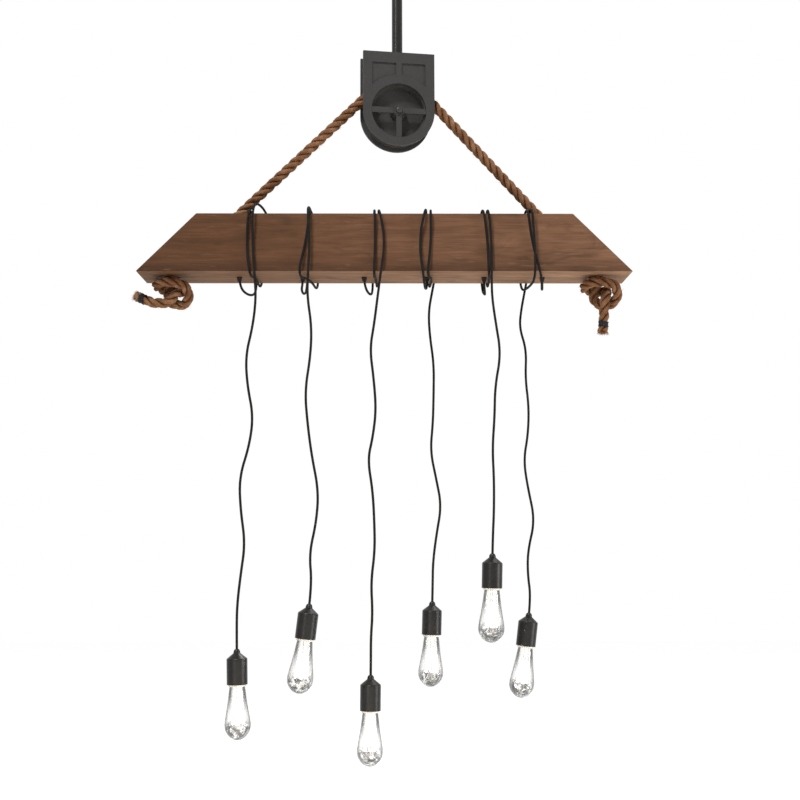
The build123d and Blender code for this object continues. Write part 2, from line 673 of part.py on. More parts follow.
def rope_end_bands():
    """The tape bound round each end of the rope, short of its cut end."""
    with BuildPart() as bands:
        for hole_x, shape in ((LEFT_HOLE_X, LEFT_KNOT), (RIGHT_HOLE_X, RIGHT_KNOT)):
            points = knot_points(hole_x, shape)
            direction = (points[-1] - points[-2]).normalized()
            start = points[-1] - direction * (BAND_FROM_END + BAND_LENGTH)
            with BuildSketch(Plane(origin=start, z_dir=direction)):
                Circle(BAND_RADIUS)
                Circle(ROPE_RADIUS + BAND_PLAY, mode=Mode.SUBTRACT)
            extrude(amount=BAND_LENGTH)
    return bands


def beam():
    """The timber, mitred at both ends, with its rope holes, wire channel and wire holes."""
    half = BEAM_LENGTH / 2
    top_half = half - BEAM_HEIGHT
    channel_mid = (CHANNEL_LEFT + CHANNEL_RIGHT) / 2
    channel_length = CHANNEL_RIGHT - CHANNEL_LEFT
    channel_floor = BEAM_BOTTOM + BEAM_HEIGHT - CHANNEL_DEPTH
    rear_face = Plane(origin=(BEAM_MID_X, BEAM_DEPTH / 2, BEAM_BOTTOM), x_dir=(1, 0, 0), z_dir=(0, -1, 0))
    with BuildPart() as timber:
        with BuildSketch(rear_face):
            with BuildLine():
                Polyline((-half, 0), (half, 0), (top_half, BEAM_HEIGHT), (-top_half, BEAM_HEIGHT), close=True)
            make_face()
        extrude(amount=BEAM_DEPTH)
        chamfer(timber.edges().filter_by(Axis.X), BEAM_EASE)
        for hole_x in (LEFT_HOLE_X, RIGHT_HOLE_X):
            middle, direction = rope_line(hole_x)
            with BuildSketch(Plane(origin=middle - direction * BEAM_HEIGHT, z_dir=direction)):
                Circle(ROPE_HOLE_RADIUS)
            extrude(amount=2 * BEAM_HEIGHT, mode=Mode.SUBTRACT)
        with BuildSketch(Plane.XY.offset(channel_floor)):
            with Locations((channel_mid, 0)):
                Rectangle(channel_length, CHANNEL_WIDTH)
        extrude(amount=CHANNEL_DEPTH, mode=Mode.SUBTRACT)
        with BuildSketch(Plane.XY.offset(BEAM_BOTTOM + BEAM_HEIGHT - COVER_THICKNESS)):
            with Locations((channel_mid, 0)):
                Rectangle(channel_length + 2 * COVER_REBATE, CHANNEL_WIDTH + 2 * COVER_REBATE)
        extrude(amount=COVER_THICKNESS, mode=Mode.SUBTRACT)
        for x in BUSHING_X:
            foot = Vector(x, 0, BEAM_BOTTOM + BUSHING_SHANK)
            head_x = min(max(x, CHANNEL_LEFT + WIRE_HOLE_INSET), CHANNEL_RIGHT - WIRE_HOLE_INSET)
            head = Vector(head_x, 0, channel_floor + 2)
            with BuildSketch(Plane(origin=foot, z_dir=head - foot)):
                Circle(WIRE_HOLE_RADIUS)
            extrude(amount=(head - foot).length, mode=Mode.SUBTRACT)
            with BuildSketch(Plane.XY.offset(BEAM_BOTTOM)):
                with Locations((x, 0)):
                    Circle(BUSHING_SHANK_RADIUS + FIT)
            extrude(amount=BUSHING_SHANK + 1, mode=Mode.SUBTRACT)
    return timber


def channel_cover():
    """The strip that closes the wire channel, flush with the beam's top."""
    length = CHANNEL_RIGHT - CHANNEL_LEFT + 2 * COVER_REBATE - COVER_PLAY
    with BuildPart() as strip:
        with BuildSketch(Plane.XY.offset(BEAM_BOTTOM + BEAM_HEIGHT - COVER_THICKNESS)):
            with Locations(((CHANNEL_LEFT + CHANNEL_RIGHT) / 2, 0)):
                Rectangle(length, CHANNEL_WIDTH + 2 * COVER_REBATE - COVER_PLAY)
        extrude(amount=COVER_THICKNESS)
    return strip


def splice_connectors():
    """The three lever connectors in the channel: line, neutral and earth."""
    length, width, height = CONNECTOR_SIZE
    with BuildPart() as connectors:
        with BuildSketch(Plane.XY.offset(BEAM_BOTTOM + BEAM_HEIGHT - CHANNEL_DEPTH)):
            with Locations(*[(x, 0) for x in CONNECTOR_X]):
                RectangleRounded(length, width, 2.0)
        extrude(amount=height)
    return connectors


def cord_bushings():
    """The six strain reliefs under the beam, one for each cord, flared where the cord bends."""
    bore = CORD_RADIUS + FIT
    with BuildPart() as bushings:
        for x in BUSHING_X:
            with BuildSketch(section(x, 0, BEAM_BOTTOM)):
                with BuildLine():
                    Polyline(
                        (bore, BUSHING_SHANK), (BUSHING_SHANK_RADIUS, BUSHING_SHANK),
                        (BUSHING_SHANK_RADIUS, 0),
                        (BUSHING_FLANGE_RADIUS, 0), (BUSHING_FLANGE_RADIUS, -BUSHING_FLANGE_HEIGHT),
                        (BUSHING_NECK_RADIUS, BUSHING_FLARE_TOP),
                        (BUSHING_TIP_RADIUS, -BUSHING_LENGTH), (bore + BUSHING_FLARE, -BUSHING_LENGTH),
                        (bore, BUSHING_FLARE_TOP), close=True,
                    )
                make_face()
            revolve(axis=Axis((x, 0, BEAM_BOTTOM), (0, 0, 1)))
    return bushings


# Cords

def winding_points(index):
    """The route of a cord from its bushing round the beam to where it lets go."""
    winding = WINDINGS[index]
    x = BUSHING_X[index]
    points = [(x, 0.0, BEAM_BOTTOM + CORD_INSIDE), (x, 0.0, BEAM_BOTTOM - CORD_STRAIGHT)]
    for x, y, z in winding["loop"]:
        points.append((x, y, BEAM_BOTTOM + z))
    for name, x, lift in winding["turns"]:
        y, z, out_y, out_z = STATIONS[name]
        points.append((x, y + lift * out_y, BEAM_BOTTOM + z + lift * out_z))
    pivot_x, pivot_y = winding["pivot"]
    points.append((pivot_x, pivot_y, BEAM_BOTTOM - PIVOT_BELOW_BEAM))
    return points


def cord_winding(index):
    """The cord's turns round the beam."""
    points = winding_points(index)
    piece, line = tube(points, arc_radii(points, EDGE_BEND), CORD_RADIUS)
    print("winding", index + 1, "gap", round(least_gap(line, CORD_RADIUS), 2))
    return piece


def drop_points(index):
    """The route of a drop from its pivot to the inside of its cord grip."""
    pivot_x, pivot_y = WINDINGS[index]["pivot"]
    last_turn = winding_points(index)[-2]
    pivot = Vector(pivot_x, pivot_y, BEAM_BOTTOM - PIVOT_BELOW_BEAM)
    direction = (pivot - Vector(*last_turn)).normalized()
    points = [tuple(pivot + direction * PIVOT_GAP)]
    for x, z in DROPS[index]:
        points.append((x, pivot_y, BEAM_BOTTOM + z))
    return points


def cord_drop(index):
    """The hanging length of cord, with the kinks that it keeps from its packing."""
    points = drop_points(index)
    piece, line = tube(points, arc_radii(points), CORD_RADIUS)
    return piece


def lamp_plane(index):
    """The section plane of a lamp holder, at the top of its cord grip and along its cord's end."""
    points = drop_points(index)
    last = Vector(*points[-1])
    up = (Vector(*points[-2]) - last).normalized()
    top = last + up * CORD_IN_GRIP
    return section(top.X, top.Y, top.Z, (up.X, up.Y, up.Z))


# Lamp holders and lamps

def socket_shell(plane):
    """The black metal shell of a lamp holder: cord grip, sloping shoulder and straight skirt."""
    cord = CORD_RADIUS + FIT
    inner = SHELL_RADIUS - SHELL_WALL
    grip_edge = (GRIP_TOP_RADIUS + GRIP_CHAMFER, -GRIP_CHAMFER)
    shoulder_foot = (SHOULDER_FOOT_RADIUS, -SHOULDER_FOOT)
    with BuildPart() as shell:
        with BuildSketch(plane):
            with BuildLine():
                Polyline((cord, 0), (GRIP_TOP_RADIUS, 0), grip_edge)
                RadiusArc(grip_edge, (GRIP_RADIUS, -GRIP_HEIGHT), GRIP_ROUND)
                Line((GRIP_RADIUS, -GRIP_HEIGHT), shoulder_foot)
                RadiusArc(shoulder_foot, (SHELL_RADIUS, -SHELL_TOP), SHELL_ROUND)
                Polyline(
                    (SHELL_RADIUS, -SHELL_TOP), (SHELL_RADIUS, -SHELL_BOTTOM), (inner, -SHELL_BOTTOM),
                    (inner, -SHELL_TOP - 1), (GRIP_RADIUS, -CAP_FLOOR), (cord, -CAP_FLOOR), (cord, 0),
                )
            make_face()
        revolve(axis=Axis(plane.origin, plane.y_dir))
    return shell


def socket_core(plane):
    """The porcelain core that the lamp screws into, with a rim that shows below the shell."""
    outer = SHELL_RADIUS - SHELL_WALL - FIT
    bore = BASE_RADIUS + FIT
    return turned(plane, [
        (0, -CORE_TOP), (outer - CORE_CHAMFER, -CORE_TOP), (outer, -CORE_TOP - CORE_CHAMFER),
        (outer, -CORE_BOTTOM),
        (CORE_RIM_RADIUS, -CORE_BOTTOM - 1), (CORE_RIM_RADIUS, -CORE_RIM_BOTTOM),
        (CORE_MOUTH_RADIUS, -CORE_RIM_BOTTOM), (bore + CORE_CHAMFER, -CORE_BOTTOM),
        (bore, -CORE_BOTTOM + CORE_CHAMFER),
        (bore, -BASE_TOP), (0, -BASE_TOP),
    ])


def bulb_base(plane):
    """The lamp's screw cap, with its centre contact against the core."""
    return turned(plane, [
        (0, -BASE_TOP), (BASE_CONTACT_RADIUS, -BASE_TOP),
        (BASE_CONTACT_RADIUS, -BASE_TOP - BASE_CONTACT_HEIGHT),
        (BASE_RADIUS, -BASE_TOP - BASE_SHOULDER), (BASE_RADIUS, -BASE_BOTTOM), (0, -BASE_BOTTOM),
    ])


def inset(outline, distance):
    """An outline's points moved inwards, square to the line through their neighbours."""
    moved = []
    for i, (radius, height) in enumerate(outline):
        before = outline[max(i - 1, 0)]
        after = outline[min(i + 1, len(outline) - 1)]
        run = math.dist(before, after)
        inward = radius + distance * (after[1] - before[1]) / run
        moved.append((max(inward, 0.0), height - distance * (after[0] - before[0]) / run))
    return moved


def bulb_glass(plane):
    """The clear pear-shaped envelope, widest low down and drawn to a blunt tip."""
    inner = inset(GLASS_OUTLINE, GLASS_WALL)
    with BuildPart() as glass:
        with BuildSketch(plane):
            with BuildLine():
                Spline(*GLASS_OUTLINE)
                Line(GLASS_OUTLINE[-1], inner[-1])
                Spline(*inner)
                Line(inner[0], GLASS_OUTLINE[0])
            make_face()
        revolve(axis=Axis(plane.origin, plane.y_dir))
    return glass


def save_ceiling_fitting():
    """Writes the pieces that stay fixed to the ceiling, and the swivel's."""
    save(crossbar(), "crossbar")
    save(canopy(), "canopy")
    save(canopy_nipple(), "canopy_nipple")
    save(canopy_nuts(), "canopy_nuts")
    save(swivel_cap(), "swivel_cap")
    save(swivel_cup(), "swivel_cup")
    save(swivel_ring(), "swivel_ring")
    save(swivel_ball(), "swivel_ball")


def save_block():
    """Writes the stem, the pulley block and its sheave."""
    save(stem_cap(), "stem_cap")
    save(stem(), "stem")
    save(cheek(-1), "front_cheek")
    save(cheek(1), "rear_cheek")
    save(block_spacer(), "block_spacer")
    save(axle(), "axle")
    save(axle_nut(), "axle_nut")
    save(sheave(), "sheave")


def save_beam():
    """Writes the rope, its knots, the beam and what is let into it."""
    save(rope(), "rope")
    save(knot(LEFT_HOLE_X, LEFT_KNOT), "left_knot")
    save(knot(RIGHT_HOLE_X, RIGHT_KNOT), "right_knot")
    save(rope_end_bands(), "rope_end_bands")
    save(beam(), "beam")
    save(channel_cover(), "channel_cover")
    save(splice_connectors(), "splice_connectors")
    save(cord_bushings(), "cord_bushings")


def save_pendant(index):
    """Writes one cord, its lamp holder and its lamp."""
    number = str(index + 1)
    plane = lamp_plane(index)
    save(cord_winding(index), "cord_winding_" + number)
    save(cord_drop(index), "cord_drop_" + number)
    save(socket_shell(plane), "socket_shell_" + number)
    save(socket_core(plane), "socket_core_" + number)
    save(bulb_base(plane), "bulb_base_" + number)
    save(bulb_glass(plane), "bulb_glass_" + number)


os.makedirs("parts", exist_ok=True)
save_ceiling_fitting()
save_block()
save_beam()
for pendant in range(len(DROPS)):
    save_pendant(pendant)
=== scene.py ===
"""The looks of the wood beam pendant light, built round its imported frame."""
import math
import random

import bmesh
import bpy
from mathutils import Matrix, Vector

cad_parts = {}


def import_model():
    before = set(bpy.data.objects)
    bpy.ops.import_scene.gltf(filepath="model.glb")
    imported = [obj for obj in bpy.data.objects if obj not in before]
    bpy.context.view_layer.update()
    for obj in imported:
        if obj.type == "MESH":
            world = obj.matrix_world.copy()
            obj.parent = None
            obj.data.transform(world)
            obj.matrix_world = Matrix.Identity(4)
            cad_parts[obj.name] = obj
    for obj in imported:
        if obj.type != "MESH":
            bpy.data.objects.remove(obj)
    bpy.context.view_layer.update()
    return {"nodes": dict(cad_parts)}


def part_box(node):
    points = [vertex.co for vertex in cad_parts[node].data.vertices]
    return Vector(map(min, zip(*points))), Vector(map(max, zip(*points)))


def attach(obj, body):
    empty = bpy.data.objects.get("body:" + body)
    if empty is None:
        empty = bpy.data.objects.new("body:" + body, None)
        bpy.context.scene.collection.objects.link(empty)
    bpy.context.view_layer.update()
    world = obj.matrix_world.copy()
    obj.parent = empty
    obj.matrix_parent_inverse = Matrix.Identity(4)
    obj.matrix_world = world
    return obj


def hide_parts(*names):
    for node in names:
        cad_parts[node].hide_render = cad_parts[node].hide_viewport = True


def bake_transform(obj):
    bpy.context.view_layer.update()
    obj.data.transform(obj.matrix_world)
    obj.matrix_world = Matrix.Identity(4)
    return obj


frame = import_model()

# Lengths are in millimetres where no comment says metres
MM = 0.001
BEAM_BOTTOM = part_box("beam")[0].z / MM
PENDANTS = range(1, 7)

# Camera, fitted to the photograph: place and reach in metres, angles in degrees
CAMERA_PLACE = Vector((-0.0291, -2.9128, -1.5761))
CAMERA_YAW = 0.682
CAMERA_PITCH = 6.869
CAMERA_ROLL = -0.114
CAMERA_LENS = 54.07
SENSOR_WIDTH = 36.0
CAMERA_REACH = 60.0

# The room, in metres: a floor at the usual height under the ceiling, and how white the surround is
FLOOR_Z = -2.75
ROOM_HALF = 12.0
ROOM_LIGHT = 0.2
FLOOR_GLOW = 0.8

# Lights: place, target, width, height, power and colour, in metres and watts
LIGHTS = {
    "key": ((-1.2, -2.5, 2.9), (0.0, 0.0, -0.7), 0.7, 0.7, 165.0, (1.0, 0.99, 0.97)),
    "edge": ((2.8, -0.9, -1.3), (0.0, 0.0, -1.3), 0.7, 2.4, 52.0, (1.0, 1.0, 1.0)),
    "high_strip": ((-2.05, -2.85, 1.4), (0.0, 0.0, -0.3), 0.3, 1.6, 24.0, (1.0, 1.0, 1.0)),
    "rear": ((1.2, 2.6, 2.4), (0.0, 0.0, -0.9), 1.2, 1.2, 100.0, (1.0, 1.0, 1.0)),
    "strip": ((-1.6, -2.9, -1.4), (0.0, 0.0, -1.4), 0.25, 2.0, 12.0, (1.0, 1.0, 1.0)),
    "bounce": ((0.0, -0.9, -2.6), (0.0, 0.0, -0.9), 1.6, 1.6, 18.0, (1.0, 0.88, 0.7)),
}

# Hard edges, rounded a little: how wide, with how many faces, and from what angle in degrees
CHEEK_EDGE = 1.3
FITTING_EDGE = 0.6
EDGE_FACES = 2
EDGE_ANGLE = 40.0

# Points to each stretch of a smooth line, and how close two mesh points are merged
LINE_RESOLUTION = 24
WELD_DISTANCE = 0.001

# Beam's painted light and shade, in heights above its bottom: where the painted light on the underside ends,
# and a band of painted shade along its foot
UNDERSIDE = (0.1, 0.5)
SHADED_FOOT_BAND = (5.0, 35.0)

# Rope: its strands and yarns
ROPE_RADIUS = 13.0
STRANDS = 3
STRAND_RADIUS = 6.1
STRAND_OFFSET = 6.9
ROPE_LAY = 76.0
YARNS = 7
YARN_SIDES = 3
YARN_DEPTH = 0.05
YARN_LAY = 52.0
ROPE_STEP = 2.5

# Rope's bindings: each draws the rope in, and its cut end spreads again
BAND_LENGTH = 13.0
BAND_FROM_END = 12.0
PINCH = 0.2
PINCH_REACH = 8.0
FLARE = 0.1
FLARE_REACH = 7.0
THREAD_RADIUS = 0.85
THREAD_TURNS = 8
THREAD_STEPS = 16
THREAD_SIDES = 8

# Rope's loose fibres, along it and at its cut ends. Each is rooted at a share of the rope's radius
# and sags by a share of its own length
FIBRE_SEED = 4
LOOSE_FIBRES = 700
END_FIBRES = 320
FIBRE_RADIUS = 0.33
FIBRE_TAPER = 0.4
FIBRE_FROM_END = 10.0
FIBRE_LENGTH = (5.0, 14.0)
FIBRE_ALONG = 0.8
FIBRE_LIFT = (0.15, 0.6)
FIBRE_ROOT = 0.86
FIBRE_SAG = 0.25
END_FIBRE_LENGTH = (3.0, 8.0)
END_FIBRE_SPREAD = (0.1, 0.8)
END_FIBRE_ROOT = 0.9
END_FIBRE_SAG = 0.2

# Cords. Each starts inside its bushing, above the beam's bottom, and comes straight down out of it
CORD_RADIUS = 3.0
CORD_SIDES = 12
CORD_STEP = 3.0
CORD_INSIDE = 4.0
CORD_STRAIGHT = 14.0
BRAID_THREADS = 8
BRAID_PER_METRE = 330.0
BUSHING_X = [-390.0, -234.0, -82.0, 73.0, 214.0, 358.0]

# Where a cord lets go of the beam, below the beam's bottom
PIVOT_BELOW_BEAM = 12.0

# Rope route: the axle's height above the beam's bottom, the beam's height, the block's turn,
# the rope's radius over the sheave, the beam's rope holes and the height at which a knot starts
AXLE_ABOVE_BEAM = 418.0
BEAM_HEIGHT = 143.0
BLOCK_YAW = math.radians(8.4)
BLOCK_RIGHT = Vector((math.cos(BLOCK_YAW), math.sin(BLOCK_YAW), 0.0))
ROPE_TURN_RADIUS = 86.0
LEFT_HOLE_X = -483.0
RIGHT_HOLE_X = 428.0
KNOT_START = 20.0

# Knot under each end of the beam, from where its hole meets the underside: down the middle,
# out to the right, up and across the front, round the back and out below the front strand,
# then the tail
LEFT_KNOT = [
    (0.0, 0.0, -6.0), (-5.0, 9.0, -66.0), (50.0, 8.0, -69.0), (50.0, -31.0, -21.0),
    (-28.0, -33.0, -17.0), (-30.0, 34.0, -25.0), (33.0, 36.0, -29.0), (23.0, -20.0, -42.0),
    (4.0, -27.0, -70.0), (-28.0, -25.0, -70.0), (-52.0, -19.0, -62.0), (-76.0, -14.0, -50.0),
]
RIGHT_KNOT = [
    (0.0, 0.0, -6.0), (-18.0, 11.0, -66.0), (43.0, 10.0, -69.0), (43.0, -31.0, -21.0),
    (-32.0, -33.0, -17.0), (-36.0, 34.0, -26.0), (28.0, 36.0, -29.0), (14.0, -21.0, -42.0),
    (6.0, -28.0, -92.0), (4.0, -22.0, -140.0),
]

# Where a cord goes as it winds round the beam: depth y, height z above the beam's bottom,
# and the outward direction in which a loose strand lifts
STATIONS = {
    "front_foot": (-86.0, -16.0, -0.7, -0.7),
    "front": (-71.5, 72.0, -1.0, 0.0),
    "front_head": (-86.0, 159.0, -0.7, 0.7),
    "top": (0.0, 144.5, 0.0, 1.0),
    "rear_head": (86.0, 159.0, 0.7, 0.7),
    "rear": (71.5, 72.0, 1.0, 0.0),
    "rear_foot": (86.0, -16.0, 0.7, -0.7),
    "under": (0.0, -1.5, 0.0, -1.0),
}

# Each winding's first loose points under its bushing (x, y, z above the beam's bottom),
# then the stations that it passes, each with its x and its lift, then where it lets go
WINDINGS = [
    {
        "loop": [(-382.0, 14.0, -34.0), (-364.0, 46.0, -38.0)],
        "turns": [
            ("rear_foot", -356.0, 0.0), ("rear", -358.0, 0.0), ("rear_head", -359.0, 0.0),
            ("top", -359.0, 0.0), ("front_head", -359.0, 0.0), ("front", -366.0, 0.0),
            ("front_foot", -356.0, 0.0), ("under", -350.0, 0.0), ("rear_foot", -344.0, 0.0),
            ("rear", -338.0, 0.0), ("rear_head", -324.0, 4.0), ("top", -335.0, 36.0),
            ("front_head", -350.0, 8.0), ("front", -351.0, 4.0),
        ],
        "pivot": (-344.0, -80.0),
    },
    {
        "loop": [(-238.0, 12.0, -30.0), (-234.0, 46.0, -34.0)],
        "turns": [
            ("rear_foot", -229.0, 0.0), ("rear", -226.0, 0.0), ("rear_head", -223.0, 0.0),
            ("top", -217.0, 0.0), ("front_head", -211.0, 0.0), ("front", -222.0, 0.0),
            ("front_foot", -242.0, 2.0), ("under", -215.0, 4.0), ("rear_foot", -200.0, 6.0),
            ("rear", -202.0, 0.0), ("rear_head", -205.0, 0.0), ("top", -209.0, 8.0),
            ("front_head", -219.0, 9.0), ("front", -212.0, 9.0),
        ],
        "pivot": (-216.0, -85.0),
    },
    {
        "loop": [(-76.0, 14.0, -32.0), (-66.0, 44.0, -36.0)],
        "turns": [
            ("rear_foot", -62.0, 0.0), ("rear", -61.0, 0.0), ("rear_head", -60.0, 0.0),
            ("top", -58.0, 0.0), ("front_head", -56.0, 0.0), ("front", -54.0, 0.0),
            ("front_foot", -58.0, 0.0), ("under", -54.0, 0.0), ("rear_foot", -50.0, 0.0),
            ("rear", -49.0, 0.0), ("rear_head", -48.0, 0.0), ("top", -47.0, 0.0),
            ("front_head", -46.0, 0.0), ("front", -30.0, 4.0),
        ],
        "pivot": (-42.0, -80.0),
    },
    {
        "loop": [(71.0, -14.0, -32.0), (66.0, -50.0, -38.0)],
        "turns": [
            ("front_foot", 62.0, 4.0), ("front", 51.0, 0.0), ("front_head", 68.0, 3.0),
            ("top", 72.0, 0.0), ("rear_head", 74.0, 0.0), ("rear", 77.0, 0.0),
            ("rear_foot", 80.0, 0.0), ("under", 86.0, 2.0), ("front_foot", 70.0, 3.0),
            ("front", 81.0, 0.0), ("front_head", 79.0, 0.0), ("top", 84.0, 0.0),
            ("rear_head", 94.0, 0.0), ("rear", 106.0, 4.0),
        ],
        "pivot": (90.0, 80.0),
    },
    {
        "loop": [(217.0, 12.0, -39.0), (219.0, 44.0, -34.0)],
        "turns": [
            ("rear_foot", 216.0, 0.0), ("rear", 210.0, 0.0), ("rear_head", 205.0, 0.0),
            ("top", 205.0, 0.0), ("front_head", 207.0, 0.0), ("front", 218.0, 0.0),
            ("front_foot", 219.0, 0.0), ("under", 228.0, 0.0), ("rear_foot", 228.0, 0.0),
            ("rear", 224.0, 0.0), ("rear_head", 220.0, 0.0), ("top", 219.0, 0.0),
            ("front_head", 219.0, 0.0), ("front", 227.0, 4.0),
        ],
        "pivot": (226.0, -80.0),
    },
    {
        "loop": [(356.0, -14.0, -34.0), (350.0, -50.0, -40.0)],
        "turns": [
            ("front_foot", 346.0, 0.0), ("front", 325.0, 0.0), ("front_head", 314.0, 0.0),
            ("top", 313.0, 0.0), ("rear_head", 312.0, 0.0), ("rear", 312.0, 0.0),
            ("rear_foot", 313.0, 2.0), ("under", 325.0, 24.0), ("front_foot", 331.0, 8.0),
            ("front", 331.0, 8.0), ("front_head", 324.0, 5.0), ("top", 323.0, 0.0),
            ("rear_head", 330.0, 0.0), ("rear", 341.0, 4.0),
        ],
        "pivot": (325.0, 80.0),
    },
]

# Each drop's points (x, z above the beam's bottom) from just below its pivot to the lamp holder
DROPS = [
    [(-340.0, -70.0), (-347.0, -138.0), (-363.0, -208.0), (-358.0, -280.0), (-343.0, -352.0),
     (-351.0, -422.0), (-374.0, -498.0), (-370.0, -574.0), (-358.0, -652.0), (-368.0, -728.0),
     (-375.0, -796.0), (-375.0, -856.0), (-373.6, -912.0)],
    [(-217.0, -66.0), (-206.0, -138.0), (-208.0, -208.0), (-221.0, -294.0), (-214.0, -372.0),
     (-204.0, -446.0), (-187.0, -530.0), (-192.0, -604.0), (-208.0, -676.0), (-201.1, -746.0),
     (-208.6, -809.0)],
    [(-49.0, -68.0), (-57.0, -132.0), (-67.0, -192.0), (-58.0, -262.0), (-52.0, -338.0),
     (-60.0, -404.0), (-72.0, -456.0), (-60.0, -530.0), (-56.0, -606.0), (-55.0, -672.0),
     (-64.0, -742.0), (-60.0, -812.0), (-64.0, -870.0), (-64.0, -922.0), (-64.5, -972.0)],
    [(79.0, -70.0), (82.0, -132.0), (92.0, -204.0), (91.0, -280.0), (89.0, -352.0),
     (82.0, -424.0), (96.0, -492.0), (109.0, -560.0), (96.0, -632.0), (87.0, -700.0),
     (86.0, -760.0), (84.5, -812.0)],
    [(226.0, -64.0), (234.0, -126.0), (246.0, -204.0), (231.0, -282.0), (229.0, -356.0),
     (223.0, -430.0), (226.0, -504.0), (225.0, -580.0), (221.5, -640.0), (220.0, -694.0)],
    [(314.0, -66.0), (309.0, -112.0), (326.0, -168.0), (322.0, -240.0), (330.0, -312.0),
     (327.0, -382.0), (315.0, -446.0), (324.0, -514.0), (341.0, -596.0), (322.0, -672.0),
     (321.0, -730.0), (327.8, -784.0), (321.0, -840.0)],
]

# Lamp, measured down from the top of its cord grip
CORD_IN_GRIP = 17.0
GLASS_WALL = 0.8
GLASS_SIDES = 64
GLASS_STEPS = 5

# A ring that closes on the lamp's axis keeps this radius, so that it stays a ring
AXIS_RADIUS = 0.02

# Glass's painted refraction, in distances along it from its neck: where the darker neck fades out, then where
# the darker patches of its foot come in
NECK_FADE = (30.0, 75.0)
FOOT_REFRACTION_PATCHES = (82.0, 100.0)

# Glass's outline, then the stem's inside it, as radius and height
GLASS_OUTLINE = [
    (13.0, -77.0), (16.8, -82.0), (18.8, -91.0), (21.2, -111.0), (24.8, -135.0), (28.8, -158.0),
    (30.3, -172.0), (28.4, -184.0), (21.2, -195.5), (10.6, -203.2), (0.0, -206.5),
]
STEM_OUTLINE = [
    (10.0, -78.0), (7.0, -82.0), (4.6, -89.0), (3.4, -105.0), (2.4, -117.0), (3.6, -121.0),
    (AXIS_RADIUS, -123.0),
]
STEM_SIDES = 20

# Lamp's filament, a cage of legs between an upper and a lower ring, and the wires that hold it
CAGE_LEGS = 11
CAGE_TOP = -115.0
CAGE_FOOT = -170.0
CAGE_TOP_RADIUS = 8.5
CAGE_FOOT_RADIUS = 14.0
FILAMENT_RADIUS = 0.45
WIRE_RADIUS = 0.3
WIRE_SIDES = 6
WIRE_STEP = 2.0
LEAD_TOP = (2.0, -85.0)
LEAD_BEND = (2.2, -105.0)
ROD_IN_STEM = 4.0
ROD_BELOW_CAGE = 2.0


# Camera, light and room

def camera():
    """The photograph's own viewpoint."""
    yaw, pitch, roll = (math.radians(a) for a in (CAMERA_YAW, CAMERA_PITCH, CAMERA_ROLL))
    ahead = Vector((math.sin(yaw) * math.cos(pitch), math.cos(yaw) * math.cos(pitch), math.sin(pitch)))
    right = Vector((math.cos(yaw), -math.sin(yaw), 0.0))
    up = right.cross(ahead)
    right, up = right * math.cos(roll) + up * math.sin(roll), up * math.cos(roll) - right * math.sin(roll)
    data = bpy.data.cameras.new("camera")
    data.lens = CAMERA_LENS
    data.sensor_width = SENSOR_WIDTH
    data.clip_end = CAMERA_REACH
    cam = bpy.data.objects.new("camera", data)
    turn = Matrix((right, up, -ahead)).transposed().to_4x4()
    cam.matrix_world = Matrix.Translation(CAMERA_PLACE) @ turn
    bpy.context.scene.collection.objects.link(cam)
    bpy.context.scene.camera = cam


def area_light(name, place, target, width, height, power, colour):
    """A soft light that faces a point."""
    data = bpy.data.lights.new(name, "AREA")
    data.shape = "RECTANGLE"
    data.size = width
    data.size_y = height
    data.energy = power
    data.color = colour
    light = bpy.data.objects.new(name, data)
    light.location = place
    light.rotation_mode = "QUATERNION"
    light.rotation_quaternion = (Vector(target) - Vector(place)).to_track_quat("-Z", "Y")
    bpy.context.scene.collection.objects.link(light)


def seen_directly(nodes):
    """1 for rays that show the background: the camera's own, and those off metal and through glass."""
    path = nodes.new("ShaderNodeLightPath")
    shine = nodes.new("ShaderNodeMath")
    shine.operation = "MAXIMUM"
    tree = shine.id_data
    tree.links.new(path.outputs["Is Camera Ray"], shine.inputs[0])
    tree.links.new(path.outputs["Is Glossy Ray"], shine.inputs[1])
    both = nodes.new("ShaderNodeMath")
    both.operation = "MAXIMUM"
    tree.links.new(shine.outputs[0], both.inputs[0])
    tree.links.new(path.outputs["Is Transmission Ray"], both.inputs[1])
    return both.outputs[0]


def world():
    """A white surround that lights the object no more than a plain room would."""
    made = bpy.data.worlds.new("world")
    made.use_nodes = True
    bpy.context.scene.world = made
    nodes, links = made.node_tree.nodes, made.node_tree.links
    back = nodes["Background"]
    back.inputs["Color"].default_value = (1.0, 1.0, 1.0, 1.0)
    strength = nodes.new("ShaderNodeMapRange")
    strength.inputs["To Min"].default_value = ROOM_LIGHT
    strength.inputs["To Max"].default_value = 1.0
    links.new(seen_directly(nodes), strength.inputs["Value"])
    links.new(strength.outputs["Result"], back.inputs["Strength"])


def floor():
    """A plain pale floor that takes the object's shadow."""
    mesh = bpy.data.meshes.new("floor")
    sides = (-ROOM_HALF, ROOM_HALF)
    corners = [(x, y, FLOOR_Z) for y in sides for x in sides]
    mesh.from_pydata(corners, [], [(0, 1, 3, 2)])
    ground = bpy.data.objects.new("floor", mesh)
    bpy.context.scene.collection.objects.link(ground)
    paint = Paint("floor")
    paint.set(
        Base_Color=(0.86, 0.86, 0.86, 1.0), Roughness=0.9, Specular_IOR_Level=0.0,
        Emission_Color=(1.0, 1.0, 1.0, 1.0),
    )
    glow = paint.math("MULTIPLY", seen_directly(paint.nodes), FLOOR_GLOW)
    paint.feed("Emission Strength", glow)
    mesh.materials.append(paint.material)


# Material helpers

